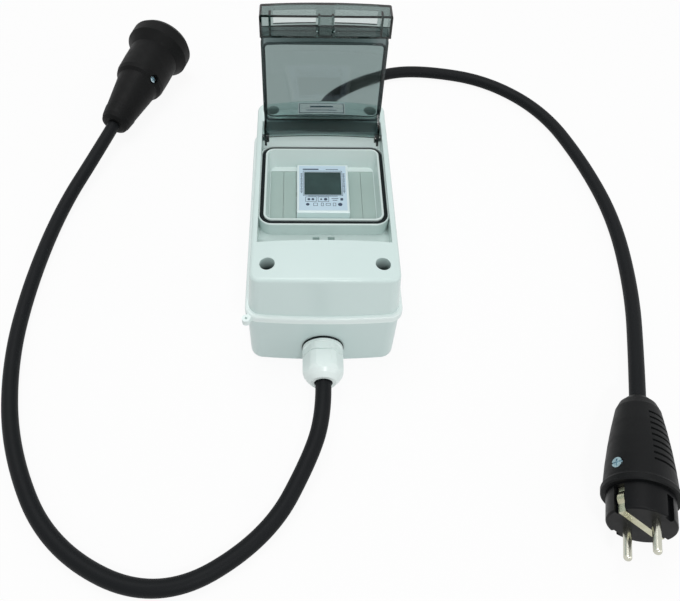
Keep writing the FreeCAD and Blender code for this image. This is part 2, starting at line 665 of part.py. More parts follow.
def lid_hinges():
    """The lid's two hubs with their pins."""
    shapes = []
    for sx in (-1, 1):
        inner = Vector(sx * (LID_HALF_WIDTH - HINGE_HUB_LENGTH), HINGE_Y, HINGE_Z)
        face = Vector(sx * LID_HALF_WIDTH, HINGE_Y, HINGE_Z)
        tip = Vector(sx * (LID_HALF_WIDTH + HINGE_PIN_REACH), HINGE_Y, HINGE_Z)
        shapes += [rod(HINGE_HUB_RADIUS, inner, face), rod(HINGE_PIN_RADIUS, inner, tip)]
    return shapes


def lid_latch():
    """The channel across the middle of the hood's mouth, with the two hooks under it."""
    near = lid_near_y + LID_WALL / 2
    far = hood_far_y - LID_WALL / 2
    half = TONGUE_HALF_WIDTH
    shapes = mirrored_boxes(half - LID_RIB, half, near, far, hood_foot, hood_foot + TONGUE_DEPTH)
    shapes.append(box(-half, half, near, far, hood_foot, hood_foot + LID_RIB))
    hook_x = LATCH_SLOT_X - HOOK_THICKNESS / 2
    hook_y = (slot_near_y + slot_far_y) / 2
    foot = TROUGH_HEIGHT - HOOK_REACH
    shapes += mirrored_boxes(hook_x, hook_x + HOOK_THICKNESS, hook_y - HOOK_THICKNESS / 2,
                             hook_y + HOOK_THICKNESS / 2, foot, hood_foot + LID_RIB)
    shapes += mirrored_boxes(hook_x, hook_x + HOOK_THICKNESS,
                             hook_y - HOOK_THICKNESS / 2 - HOOK_BARB, hook_y, foot, foot + HOOK_BARB)
    return shapes


def lid_hood_ribs():
    """A rib across the hood's mouth near each end."""
    return mirrored_boxes(LID_HOOD_RIB_X - LID_RIB, LID_HOOD_RIB_X, lid_near_y + LID_WALL / 2,
                          hood_far_y - LID_WALL / 2, hood_foot, hood_foot + LID_HOOD_RIB_DEPTH)


def lid_seal_rib():
    """The rib all round the inside of the lid that meets the gasket."""
    foot = GASKET_FLOOR_HEIGHT + GASKET_HEIGHT + PLAY
    gap = (GASKET_WIDTH - LID_RIB) / 2
    height = crown_top - foot
    outer = prism(outline(gasket_half_width + gap + LID_RIB, gasket_half_length + gap + LID_RIB,
                          WELL_CORNER_RADIUS + WELL_LIP + gap + LID_RIB, foot, 0, METER_Y), height)
    inner = prism(outline(gasket_half_width + gap, gasket_half_length + gap,
                          WELL_CORNER_RADIUS + WELL_LIP + gap, foot, 0, METER_Y), height)
    return below_skin(outer.cut(inner))


def lid_grips():
    """Two shallow recesses on the outside of the hood for the fingers."""
    y = lid_near_y + GRIP_FROM_END
    floor = under_lid(box(-LID_HALF_WIDTH, LID_HALF_WIDTH, lid_near_y, METER_Y, 0, crown_top + 1),
                      GRIP_DEPTH)
    return [grip.cut(floor) for grip in mirrored_boxes(GRIP_X - GRIP_LENGTH / 2, GRIP_X + GRIP_LENGTH / 2,
                                                       y, y + GRIP_WIDTH, 0, crown_top + 1)]


def shut_lid():
    body = lid_outside()
    for hollow in lid_hollows():
        body = body.cut(hollow)
    body = fused([body, lid_seal_rib()] + lid_hood_ribs() + lid_latch() + lid_hinges())
    return cut_all(body, lid_grips())


def window_lid():
    lid = shut_lid()
    lid.rotate(Vector(0, HINGE_Y, HINGE_Z), X_AXIS, -LID_OPEN_ANGLE)
    return lid


# Rail and meter

def din_rail():
    half = rail_half_length
    back = rail_back_height
    front = RAIL_FRONT_HEIGHT
    w = RAIL_WIDTH / 2
    b = RAIL_BASE_WIDTH / 2
    t = RAIL_THICKNESS
    profile = [(-w, front), (-w, front - t), (-b - t, front - t), (-b - t, back), (b + t, back),
               (b + t, front - t), (w, front - t), (w, front), (b, front), (b, back + t),
               (-b, back + t), (-b, front)]
    points = [Vector(-half, METER_Y + y, z) for y, z in profile]
    rail = Part.Face(Part.makePolygon(points + points[:1])).extrude(Vector(2 * half, 0, 0))
    holes = [post(RAIL_SCREW_RADIUS + 0.6, sx * rail_screw_x, METER_Y, back - 1, front) for sx in (-1, 1)]
    return cut_all(rail, holes)


def rail_screws():
    screws = []
    seat = rail_back_height + RAIL_THICKNESS
    for sx in (-1, 1):
        x = sx * rail_screw_x
        head = post(3.6, x, METER_Y, seat, seat + 2.2)
        head = head.makeFillet(0.7, [e for e in head.Edges if e.BoundBox.ZMin > seat + 1])
        shank = post(RAIL_SCREW_RADIUS, x, METER_Y, seat - RAIL_SCREW_FROM_END, seat)
        slot = box(x - 4, x + 4, METER_Y - 0.45, METER_Y + 0.45, seat + 1.3, seat + 3)
        screws.append(head.fuse(shank).cut(slot))
    return Part.makeCompound(screws)


TERMINAL_X = 9.0
TERMINAL_FROM_END = 8.0
TERMINAL_FLOOR = 44.0
TERMINAL_HEIGHT = 10.0
TERMINAL_WIDTH = 8.0
TERMINAL_SCREW_RADIUS = 1.9
WIRE_HOLE_RADIUS = 2.6
CLIP_WIDTH = 12.0
CLIP_THICKNESS = 1.6
CLIP_TRAVEL = 3.0


terminal_reach = METER_BODY_LENGTH / 2 - TERMINAL_FROM_END


def terminal_places():
    return [(sx * TERMINAL_X, METER_Y + sy * terminal_reach) for sx in (-1, 1) for sy in (-1, 1)]


def meter_housing():
    half = METER_BODY_LENGTH / 2
    body = box(-meter_half_width, meter_half_width, METER_Y - half, METER_Y + half,
               METER_BACK_HEIGHT, METER_SPLIT_HEIGHT)
    # rail slot with its fixed hook on the far side
    w = RAIL_WIDTH / 2 + PLAY
    side = meter_half_width + 1
    slot = box(-side, side, METER_Y - w - 2.4, METER_Y + w, METER_BACK_HEIGHT - 1,
               RAIL_FRONT_HEIGHT + 0.1)
    hook = box(-meter_half_width, meter_half_width, METER_Y + w - 1.8, METER_Y + w + 1,
               METER_BACK_HEIGHT, RAIL_FRONT_HEIGHT - RAIL_THICKNESS - 0.2)
    cavity = box(-meter_half_width + METER_WALL, meter_half_width - METER_WALL,
                 METER_Y - METER_CAVITY_LENGTH / 2, METER_Y + METER_CAVITY_LENGTH / 2,
                 RAIL_FRONT_HEIGHT + METER_WALL + CLIP_THICKNESS + 1,
                 METER_SPLIT_HEIGHT + 1)
    cuts = [slot, cavity, clip_slot()]
    for x, y in terminal_places():
        end = 1 if y > METER_Y else -1
        cuts.append(box(x - TERMINAL_WIDTH / 2 - FIT, x + TERMINAL_WIDTH / 2 + FIT, y - 4.5, y + 4.5,
                        TERMINAL_FLOOR, METER_SPLIT_HEIGHT + 1))
        cuts.append(rod(WIRE_HOLE_RADIUS, Vector(x, y, TERMINAL_FLOOR + 4.5),
                        Vector(x, y + end * (TERMINAL_FROM_END + 1), TERMINAL_FLOOR + 4.5)))
    for cutter in cuts:
        body = body.cut(cutter)
    return body.fuse(hook).removeSplitter()


def clip_slot():
    w = CLIP_WIDTH / 2 + 0.2
    z0 = RAIL_FRONT_HEIGHT - RAIL_THICKNESS - 0.3 - CLIP_THICKNESS - 0.25
    y0 = METER_Y - METER_BODY_LENGTH / 2 - 1
    return box(-w, w, y0, METER_Y - RAIL_WIDTH / 2, z0, z0 + CLIP_THICKNESS + 0.5)


def meter_rail_clip():
    """The sliding foot that locks the meter on the rail's near edge."""
    w = CLIP_WIDTH / 2
    z1 = RAIL_FRONT_HEIGHT - RAIL_THICKNESS - 0.3
    z0 = z1 - CLIP_THICKNESS
    y0 = METER_Y - METER_BODY_LENGTH / 2 - 3
    y1 = METER_Y - RAIL_WIDTH / 2 + 1.6
    plate = box(-w, w, y0, y1, z0, z1)
    slot = box(-2.5, 2.5, y0 + 1.2, y0 + 2.6, z0 - 1, z1 + 1)
    return plate.cut(slot)


def meter_front():
    half = METER_BODY_LENGTH / 2
    nose = METER_NOSE_LENGTH / 2
    shoulders = box(-meter_half_width, meter_half_width, METER_Y - half, METER_Y + half,
                    METER_SPLIT_HEIGHT, METER_SHOULDER_HEIGHT)
    front = box(-meter_half_width, meter_half_width, METER_Y - nose, METER_Y + nose,
                METER_SHOULDER_HEIGHT - 1, METER_FACE_HEIGHT)
    body = fused([shoulders, front])
    rims = [e for e in body.Edges if e.BoundBox.ZMin > METER_FACE_HEIGHT - 0.001]
    body = body.makeChamfer(0.8, rims)
    inner = METER_WALL
    cuts = [box(-meter_half_width + inner, meter_half_width - inner, METER_Y - nose + inner,
                METER_Y + nose - inner, METER_SPLIT_HEIGHT - 1, METER_FACE_HEIGHT - inner),
            box(-meter_half_width + inner, meter_half_width - inner,
                METER_Y - METER_CAVITY_LENGTH / 2, METER_Y + METER_CAVITY_LENGTH / 2,
                METER_SPLIT_HEIGHT - 1, METER_SHOULDER_HEIGHT - inner),
            display_window(0, METER_FACE_HEIGHT - inner - 1, METER_FACE_HEIGHT + 1),
            faceplate_block(FIT, METER_FACE_HEIGHT - FACEPLATE_THICKNESS, METER_FACE_HEIGHT + 1)]
    for x, y in terminal_places():
        cuts.append(post(2.9, x, y, METER_SPLIT_HEIGHT - 1, METER_SHOULDER_HEIGHT + 1))
    for cutter in cuts:
        body = body.cut(cutter)
    return body


def display_window(gap, z0, z1):
    w = DISPLAY_WIDTH / 2 + gap
    h = DISPLAY_LENGTH / 2 + gap
    y = METER_Y + DISPLAY_SHIFT_Y
    return box(-w, w, y - h, y + h, z0, z1)


def faceplate_block(gap, z0, z1):
    w = meter_half_width - METER_FACE_BORDER + gap
    h = METER_NOSE_LENGTH / 2 - METER_FACE_BORDER + gap
    return box(-w, w, METER_Y - h, METER_Y + h, z0, z1)


def meter_faceplate():
    plate = faceplate_block(0, METER_FACE_HEIGHT - FACEPLATE_THICKNESS, METER_FACE_HEIGHT)
    return plate.cut(display_window(0, METER_FACE_HEIGHT - 2, METER_FACE_HEIGHT + 1))


DISPLAY_SINK = 0.5
DISPLAY_FLANGE = 1.4
DISPLAY_FLANGE_THICKNESS = 2.2
board_top = METER_FACE_HEIGHT - METER_WALL - DISPLAY_FLANGE_THICKNESS


def meter_display():
    """The liquid crystal glass behind the window in the face."""
    pane = display_window(-FIT, board_top, METER_FACE_HEIGHT - DISPLAY_SINK)
    flange = display_window(DISPLAY_FLANGE, board_top, METER_FACE_HEIGHT - METER_WALL - FIT)
    return pane.fuse(flange).removeSplitter()


BOARD_LEG_RADIUS = 1.6
BOARD_LEG_FROM_CORNER = 4.0
CHIP_SIZE = (10.0, 10.0, 1.6)
CHIP_SHIFT_Y = -1.0
SHUNT_FROM_SIDE = 4.5
SHUNT_SIZE = (4.0, 3.0)


def meter_board():
    """Circuit board under the display, standing on four legs."""
    under = board_top - BOARD_THICKNESS
    w = meter_half_width - METER_WALL - 0.2
    h = BOARD_LENGTH / 2
    board = box(-w, w, METER_Y - h, METER_Y + h, under, board_top)
    floor = RAIL_FRONT_HEIGHT + METER_WALL + CLIP_THICKNESS + 1
    leg_x = w - BOARD_LEG_FROM_CORNER
    leg_y = h - BOARD_LEG_FROM_CORNER
    legs = [post(BOARD_LEG_RADIUS, sx * leg_x, METER_Y + sy * leg_y, floor, under)
            for sx in (-1, 1) for sy in (-1, 1)]
    chip_width, chip_length, chip_height = CHIP_SIZE
    chip_y = METER_Y + CHIP_SHIFT_Y
    chip = box(-chip_width / 2, chip_width / 2, chip_y - chip_length / 2, chip_y + chip_length / 2,
               under - chip_height, under)
    shunt_width, shunt_height = SHUNT_SIZE
    shunt_x = SHUNT_FROM_SIDE - w
    shunt = box(shunt_x, shunt_x + shunt_width, METER_Y - h / 2, METER_Y + h / 2,
                under - shunt_height, under)
    return fused([board, chip, shunt] + legs)


TERMINAL_LENGTH = 8.8
TERMINAL_WIRE_HEIGHT = 4.5
TERMINAL_HEAD = (2.6, 3.4)
SLOT_WIDTH = 0.8
SLOT_DEPTH = 1.2


def meter_terminals():
    cages = []
    wire_z = TERMINAL_FLOOR + TERMINAL_WIRE_HEIGHT
    for x, y in terminal_places():
        end = 1 if y > METER_Y else -1
        cage = box(x - TERMINAL_WIDTH / 2, x + TERMINAL_WIDTH / 2,
                   y - TERMINAL_LENGTH / 2, y + TERMINAL_LENGTH / 2,
                   TERMINAL_FLOOR, TERMINAL_FLOOR + TERMINAL_HEIGHT)
        mouth = rod(WIRE_HOLE_RADIUS - 0.4, Vector(x, y - end * 3, wire_z), Vector(x, y + end * 6, wire_z))
        screw_hole = post(TERMINAL_SCREW_RADIUS + FIT, x, y, wire_z,
                          TERMINAL_FLOOR + TERMINAL_HEIGHT + 1)
        cages.append(cage.cut(mouth).cut(screw_hole))
    return Part.makeCompound(cages)


def slotted_screw(x, y, foot, seat, shank_radius, head_size):
    """An upright screw with a slot across its head, from its foot to its head's seat."""
    radius, height = head_size
    shank = post(shank_radius, x, y, foot, seat + height / 2)
    head = post(radius, x, y, seat, seat + height)
    slot = box(x - radius - 1, x + radius + 1, y - SLOT_WIDTH / 2, y + SLOT_WIDTH / 2,
               seat + height - SLOT_DEPTH, seat + height + 1)
    return head.fuse(shank).removeSplitter().cut(slot)


def meter_terminal_screws():
    top = TERMINAL_FLOOR + TERMINAL_HEIGHT
    return Part.makeCompound([slotted_screw(x, y, top - 3.2, top + 0.05, TERMINAL_SCREW_RADIUS, TERMINAL_HEAD)
                              for x, y in terminal_places()])


def blanking_strips():
    """Half-module blanks that close the aperture beside the meter."""
    strips = []
    half = METER_NOSE_LENGTH / 2
    for sx in (-1, 1):
        for place in (0, 1):
            inner = meter_half_width + MODULE_GAP + place * MODULE_WIDTH / 2 + MODULE_GAP / 2
            outer = inner + MODULE_WIDTH / 2 - MODULE_GAP
            x0, x1 = sorted((sx * inner, sx * outer))
            foot = WELL_FLOOR_HEIGHT - BLANK_DEPTH
            face = box(x0, x1, METER_Y - half, METER_Y + half, foot, WELL_FLOOR_HEIGHT)
            hollow = box(x0 + BLANK_WALL, x1 - BLANK_WALL, METER_Y - half + BLANK_WALL,
                         METER_Y + half - BLANK_WALL, foot - 1, WELL_FLOOR_HEIGHT - 1.4 * BLANK_WALL)
            catches = []
            for sy in (-1, 1):
                y0, y1 = sorted((METER_Y + sy * (half - 0.5), METER_Y + sy * (half + 1.3)))
                catches.append(box(x0 + 2, x1 - 2, y0, y1, foot, WELL_FLOOR_HEIGHT - PANEL - 0.1))
            strips.append(fused([face.cut(hollow)] + catches))
    return Part.makeCompound(strips)


# Earth terminal on the base

EARTH_FROM_SIDE = 14.0
EARTH_FROM_END = 45.0
EARTH_SEAT = 12.0
EARTH_BLOCK = (9.0, 22.0, 9.0)
EARTH_SCREW_RADIUS = 1.5
EARTH_SCREW_FROM_END = 4.5
EARTH_WIRE_HEIGHT = 4.5
EARTH_HEAD = (2.4, 2.2)
earth_x = WALL + EARTH_FROM_SIDE - base_half_width
earth_y = WALL + EARTH_FROM_END - base_half_length

# The far earth core's way: shares of the way across and along, and height over the terminal
EARTH_WIRE_WAY = [(0.76, 0.63, 9.0), (0.82, 0.16, 12.0)]


def earth_pedestal():
    w, h, t = EARTH_BLOCK
    return box(earth_x - w / 2 - 1, earth_x + w / 2 + 1, earth_y - h / 2 - 1, earth_y + h / 2 + 1,
               FLOOR - 1, EARTH_SEAT)


def earth_terminal():
    w, h, t = EARTH_BLOCK
    block = box(earth_x - w / 2, earth_x + w / 2, earth_y - h / 2, earth_y + h / 2,
                EARTH_SEAT, EARTH_SEAT + t)
    cuts = [post(EARTH_SCREW_RADIUS + PLAY, earth_x, earth_y, 0, EARTH_SEAT + t + 1)]
    wire_z = EARTH_SEAT + EARTH_WIRE_HEIGHT
    for sy in (-1, 1):
        y = earth_y + sy * h / 2
        cuts.append(rod(WIRE_RADIUS + 0.4, Vector(earth_x, y - sy * 8, wire_z),
                        Vector(earth_x, y + sy, wire_z)))
        cuts.append(post(EARTH_SCREW_RADIUS + FIT, earth_x, y - sy * EARTH_SCREW_FROM_END, wire_z,
                         EARTH_SEAT + t + 1))
    return cut_all(block, cuts)


def earth_terminal_screws():
    w, h, t = EARTH_BLOCK
    top = EARTH_SEAT + t
    side_y = h / 2 - EARTH_SCREW_FROM_END
    places = [(earth_y - side_y, top - 2.6), (earth_y, EARTH_SEAT - 5), (earth_y + side_y, top - 2.6)]
    return Part.makeCompound([slotted_screw(earth_x, y, foot, top, EARTH_SCREW_RADIUS, EARTH_HEAD)
                              for y, foot in places])


# Cable glands: made with their axis along Z, the wall's outer face at height 0

def in_wall(shape, end):
    """Turns a gland piece so that it stands out of the near (-1) or far (1) wall."""
    placed = shape.copy()
    placed.rotate(Vector(0, 0, 0), X_AXIS, -90 if end > 0 else 90)
    placed.translate(Vector(0, end * wall_face_y, GLAND_HEIGHT))
    return placed


flange_foot = GLAND_RING_THICKNESS
hex_foot = flange_foot + GLAND_FLANGE
nut_foot = hex_foot + GLAND_HEX_LENGTH
nut_top = nut_foot + GLAND_NUT_LENGTH


def gland_body():
    stem = post(GLAND_THREAD_RADIUS, 0, 0, -WALL - LOCKNUT_THICKNESS - 2, nut_foot + 6)
    flange = post(GLAND_FLANGE_RADIUS, 0, 0, flange_foot, hex_foot)
    flange = flange.makeFillet(0.7, [e for e in flange.Edges if e.BoundBox.ZMin > hex_foot - 0.001])
    grip = hex_bar(GLAND_HEX_FLATS, hex_foot - 0.5, nut_foot - 0.6)
    grip = grip.common(turned([(0, hex_foot - 1), (GLAND_FLANGE_RADIUS, hex_foot - 1),
                               (GLAND_FLANGE_RADIUS, nut_foot - 1.6),
                               (GLAND_FLANGE_RADIUS - 1.4, nut_foot - 0.6), (0, nut_foot - 0.6)]))
    seat = turned([(0, nut_foot), (CORD_RADIUS + 0.5, nut_foot), (CORD_RADIUS + 3.0, nut_foot + 6.5),
                   (0, nut_foot + 6.5)])
    bore = post(CORD_RADIUS + 0.5, 0, 0, -30, nut_foot + 1)
    return fused([stem, flange, grip]).cut(bore).cut(seat)


def gland_nut():
    outer_radius = GLAND_FLANGE_RADIUS
    dome = turned([(0, nut_foot), (outer_radius, nut_foot), (outer_radius, nut_foot + 10.5),
                   (outer_radius - 0.8, nut_foot + 13.2), (outer_radius - 2.6, nut_foot + 15.8),
                   (outer_radius - 5.2, nut_top), (0, nut_top)])
    body = dome.common(hex_bar(GLAND_NUT_FLATS, nut_foot, nut_top))
    hollow = turned([(0, nut_foot - 1), (GLAND_THREAD_RADIUS + FIT, nut_foot - 1),
                     (GLAND_THREAD_RADIUS + FIT, nut_foot + 9.5), (CORD_RADIUS + 3.0, nut_foot + 14),
                     (CORD_RADIUS + 3.0, nut_foot + 15), (GLAND_MOUTH_RADIUS, nut_foot + 16.5),
                     (GLAND_MOUTH_RADIUS, nut_top + 1), (0, nut_top + 1)])
    return body.cut(hollow)


def gland_seal():
    """The rubber sleeve that the nut squeezes on the cord."""
    outer = turned([(CORD_RADIUS, nut_foot + 6.6), (CORD_RADIUS + 2.9, nut_foot + 6.6),
                    (CORD_RADIUS + 2.9, nut_foot + 14.8), (GLAND_MOUTH_RADIUS - FIT, nut_foot + 16.3),
                    (GLAND_MOUTH_RADIUS - FIT, nut_top - MOUTH_DEPTH), (CORD_RADIUS, nut_top - MOUTH_DEPTH)])
    return outer


def gland_locknut():
    top = -WALL - LOCKNUT_GAP
    nut = hex_bar(LOCKNUT_FLATS, top - LOCKNUT_THICKNESS, top)
    return nut.cut(post(GLAND_THREAD_RADIUS, 0, 0, -20, 0))


def gland_ring():
    return turned([(GLAND_THREAD_RADIUS + FIT, -0.15), (GLAND_RING_RADIUS - 0.5, -0.15),
                   (GLAND_RING_RADIUS, 0.4), (GLAND_RING_RADIUS, GLAND_RING_THICKNESS - 0.4),
                   (GLAND_RING_RADIUS - 0.5, GLAND_RING_THICKNESS),
                   (GLAND_THREAD_RADIUS + FIT, GLAND_RING_THICKNESS)])


def lead_tails():
    """The sheathed ends of both leads, from the gland's mouth to just inside the box."""
    inner = -WALL - LEAD_TAIL_INSIDE
    tail = post(CORD_RADIUS, 0, 0, inner, nut_top - MOUTH_DEPTH)
    return Part.makeCompound([in_wall(tail, -1), in_wall(tail, 1)])


# Leads and wires

def arc_path(points, shout=""):
    """Straight runs joined by tangent arcs, each as large as its two runs allow."""
    edges = []
    radii = []
    here = points[0]
    for before, corner, after in zip(points, points[1:], points[2:]):
        back = before - corner
        ahead = after - corner
        run = min(back.Length, ahead.Length)
        back.normalize()
        ahead.normalize()
        turn = math.pi - back.getAngle(ahead)
        cut = 0.45 * run
        radius = cut / math.tan(turn / 2)
        radii.append(radius)
        start = corner + back * cut
        end = corner + ahead * cut
        bisector = back + ahead
        bisector.normalize()
        middle = corner + bisector * (radius / math.cos(turn / 2) - radius)
        edges.append(Part.LineSegment(here, start).toShape())
        edges.append(Part.Arc(start, middle, end).toShape())
        here = end
    edges.append(Part.LineSegment(here, points[-1]).toShape())
    if shout:
        print("%s arc radii: %s" % (shout, ", ".join("%.0f" % r for r in radii)))
    return Part.Wire(edges)


def tube(points, radius, shout=""):
    path = arc_path([Vector(*p) for p in points], shout)
    start = Vector(*points[0])
    ahead = Vector(*points[1]) - start
    ring = Part.Wire(Part.makeCircle(radius, start, ahead))
    swept = path.makePipeShell([ring], True, False)
    if shout:
        expected = math.pi * radius ** 2 * path.Length
        print("%s length %.0f mm, volume %.0f against %.0f" % (shout, path.Length, swept.Volume, expected))
    return swept


def socket_lead():
    tail = SOCKET_FRAME.multVec(Vector(0, 0, 0))
    before = SOCKET_FRAME.multVec(Vector(0, 0, -LEAD_END_RUN))
    start = [(0, -lead_start_y, GLAND_HEIGHT), (0, -lead_start_y - GLAND_RUN, GLAND_HEIGHT)]
    return tube(start + SOCKET_LEAD_ROUTE + [tuple(before), tuple(tail)], CORD_RADIUS, "socket lead")


def plug_lead():
    tail = PLUG_FRAME.multVec(Vector(0, 0, -PLUG_LENGTH))
    before = PLUG_FRAME.multVec(Vector(0, 0, -PLUG_LENGTH - LEAD_END_RUN))
    start = [(0, lead_start_y, GLAND_HEIGHT), (0, lead_start_y + GLAND_RUN, GLAND_HEIGHT)]
    return tube(start + PLUG_LEAD_ROUTE + [tuple(before), tuple(tail)], CORD_RADIUS, "plug lead")


tail_face_y = wall_face_y - WALL - LEAD_TAIL_INSIDE
terminal_mouth = terminal_reach + 4.4


def meter_wire(side, end):
    """One core from a lead's sheathed end to a meter terminal."""
    x = side * TERMINAL_X
    y_in = METER_Y + end * terminal_mouth
    z_in = TERMINAL_FLOOR + 4.5
    return tube([(side * 2.6, end * tail_face_y, GLAND_HEIGHT + 1.5),
                 (side * 2.6, end * (tail_face_y - 7), GLAND_HEIGHT + 1.5),
                 (x, METER_Y + end * (terminal_mouth + 10), z_in),
                 (x, y_in, z_in)], WIRE_RADIUS)


def live_wires():
    return Part.makeCompound([meter_wire(-1, end) for end in (-1, 1)])


def neutral_wires():
    return Part.makeCompound([meter_wire(1, end) for end in (-1, 1)])


def earth_wires():
    z = EARTH_SEAT + 4.5
    half = EARTH_BLOCK[1] / 2
    near = tube([(0, -tail_face_y, GLAND_HEIGHT - 3), (0, -tail_face_y + 6, GLAND_HEIGHT - 3),
                 (earth_x, earth_y - half - 12, z), (earth_x, earth_y - half, z)], WIRE_RADIUS)
    way = [(earth_x * across, tail_face_y * along, z + rise) for across, along, rise in EARTH_WIRE_WAY]
    start = [(0, tail_face_y, GLAND_HEIGHT - 3), (0, tail_face_y - 8, GLAND_HEIGHT - 3)]
    end = [(earth_x + 2, earth_y + half + 8, z + 10), (earth_x, earth_y + half + 5, z),
           (earth_x, earth_y + half, z)]
    far = tube(start + way + end, WIRE_RADIUS)
    return Part.makeCompound([near, far])


# Plug: made with its face at height 0, pins up along Z and spaced along X

def aimed(point, heading, slope, y_direction_angle):
    """A placement whose Z points along a heading on the floor, tipped up by the slope."""
    h, e, a = (math.radians(v) for v in (heading, slope, y_direction_angle))
    forward = Vector(math.sin(h) * math.cos(e), math.cos(h) * math.cos(e), math.sin(e))
    right = Vector(math.cos(h), -math.sin(h), 0)
    up = right.cross(forward)
    y_dir = right * math.cos(a) + up * math.sin(a)
    x_dir = y_dir.cross(forward)
    turn = FreeCAD.Rotation(x_dir, y_dir, forward, "ZYX")
    return FreeCAD.Placement(point, turn)


def resting_height(radius, distance, slope):
    """Height of the reference point when a rim of this radius, so far ahead, touches the floor."""
    e = math.radians(slope)
    return radius * math.cos(e) - distance * math.sin(e) + 0.05


PLUG_FRAME = aimed(Vector(PLUG_FACE_X, PLUG_FACE_Y,
                          resting_height(PLUG_COLLAR_RADIUS, -PLUG_COLLAR_BACK, PLUG_SLOPE)),
                   180 - PLUG_HEADING, PLUG_SLOPE, 90 - PLUG_ROLL)
SOCKET_FRAME = aimed(Vector(SOCKET_TAIL_X, SOCKET_TAIL_Y,
                            resting_height(SOCKET_HEAD_RADIUS, SOCKET_LENGTH - SOCKET_HEAD_LENGTH,
                                           SOCKET_SLOPE)),
                     SOCKET_HEADING, SOCKET_SLOPE, SOCKET_SCREW_ANGLE)


def placed(shape, frame):
    moved = shape.copy()
    moved.Placement = frame.multiply(moved.Placement)
    return moved


def grip_grooves(radii, first, pitch, count, start_angle, sweep):
    """Finger grooves round part of a tapering rubber body."""
    grooves = []
    for i in range(count):
        z = first - i * pitch
        radius = radii(z)
        points = [Vector(radius - 1.1, 0, z - 0.4), Vector(radius + 1.5, 0, z - 1.5),
                  Vector(radius + 1.5, 0, z + 1.5), Vector(radius - 1.1, 0, z + 0.4)]
        face = Part.Face(Part.makePolygon(points + points[:1]))
        face.rotate(Vector(0, 0, 0), Z_AXIS, start_angle)
        grooves.append(face.revolve(Vector(0, 0, 0), Z_AXIS, sweep))
    return grooves


def plug_radius(z):
    """Radius of the plug's rubber body between its collar and its tail."""
    share = (-z - PLUG_COLLAR_BACK) / (PLUG_LENGTH - 10 - PLUG_COLLAR_BACK)
    return 21.2 - 3.6 * share - 3.7 * share ** 2


plug_seat = plug_radius(-PLUG_SCREW_BACK) - 1.6


def plug_body():
    collar = PLUG_COLLAR_RADIUS
    back = -PLUG_COLLAR_BACK
    skirt = PLUG_INSERT_RADIUS + FIT
    steps = 4
    side = []
    for i in range(steps + 1):
        z = back - 1.0 - i * (PLUG_LENGTH - 10 - PLUG_COLLAR_BACK - 1.0) / steps
        side.append((plug_radius(z), z))
    profile = [(skirt, back + PLUG_COLLAR_THICKNESS), (collar - 0.8, back + PLUG_COLLAR_THICKNESS),
               (collar, back + PLUG_COLLAR_THICKNESS - 0.8), (collar, back + 0.8), (collar - 0.8, back)]
    profile += side
    profile += [(11.6, -PLUG_LENGTH + 4.5), (7.6, -PLUG_LENGTH), (0, -PLUG_LENGTH),
                (0, -PLUG_INSERT_DEPTH), (skirt, -PLUG_INSERT_DEPTH)]
    body = turned(profile)
    outside = Vector(0, PLUG_COLLAR_RADIUS + 4, -PLUG_SCREW_BACK)
    screw_way = rod(SCREW_WAY_RADIUS, outside, Vector(0, plug_seat, -PLUG_SCREW_BACK))
    screw_hole = rod(SIDE_SCREW_RADIUS + FIT, outside,
                     Vector(0, plug_seat - SIDE_SCREW_LENGTH - 1, -PLUG_SCREW_BACK))
    grooves = grip_grooves(plug_radius, -PLUG_COLLAR_BACK - PLUG_GRIP_FROM_COLLAR, PLUG_GRIP_PITCH,
                           PLUG_GRIP_COUNT, -100, 130)
    return cut_all(body, grooves + [screw_way, screw_hole])


def earth_grooves(depth, margin, z0, z1):
    """The two side channels for the earth contacts, at +Y and -Y."""
    half = EARTH_GROOVE_WIDTH / 2 + margin
    radius = PLUG_INSERT_RADIUS
    return [box(-half, half, min(sy * (radius - depth), sy * (radius + 2)),
                max(sy * (radius - depth), sy * (radius + 2)), z0, z1) for sy in (-1, 1)]


def strap_block(z0, z1):
    w = EARTH_STRAP_WIDTH / 2
    reach = PLUG_INSERT_RADIUS - EARTH_GROOVE_DEPTH
    return box(-w, w, -reach, reach, z0, z1)


KEY_RECESS = (2.6, 5.2, 14.0)


def plug_insert():
    radius = PLUG_INSERT_RADIUS
    key_depth, key_width, key_length = KEY_RECESS
    body = post(radius, 0, 0, -PLUG_INSERT_DEPTH, 0)
    body = body.makeFillet(1.2, [e for e in body.Edges if e.BoundBox.ZMin > -0.001])
    cuts = earth_grooves(EARTH_GROOVE_DEPTH, 0, -PLUG_COLLAR_BACK + PLUG_COLLAR_THICKNESS + 1, 1)
    cuts.append(strap_block(-EARTH_STRAP_THICKNESS, 1))
    for sx in (-1, 1):
        cuts.append(post(PIN_ROOT_RADIUS, sx * PIN_SPACING / 2, 0, -PLUG_INSERT_DEPTH - 1, 1))
        # key recesses left and right of the pins
        x0, x1 = sorted((sx * (radius - key_depth), sx * (radius + 2)))
        cuts.append(box(x0, x1, -key_width / 2, key_width / 2, -key_length, 1))
    return cut_all(body, cuts)


def plug_pins():
    pins = []
    for sx in (-1, 1):
        x = sx * PIN_SPACING / 2
        pin = post(PIN_RADIUS, x, 0, 0, PIN_LENGTH)
        pin = pin.makeFillet(PIN_RADIUS - 0.3, [e for e in pin.Edges if e.BoundBox.ZMin > PIN_LENGTH - 0.01])
        root = post(PIN_ROOT_RADIUS, x, 0, -PLUG_INSERT_DEPTH, 0.5)
        pins.append(pin.fuse(root).removeSplitter())
    return Part.makeCompound(pins)


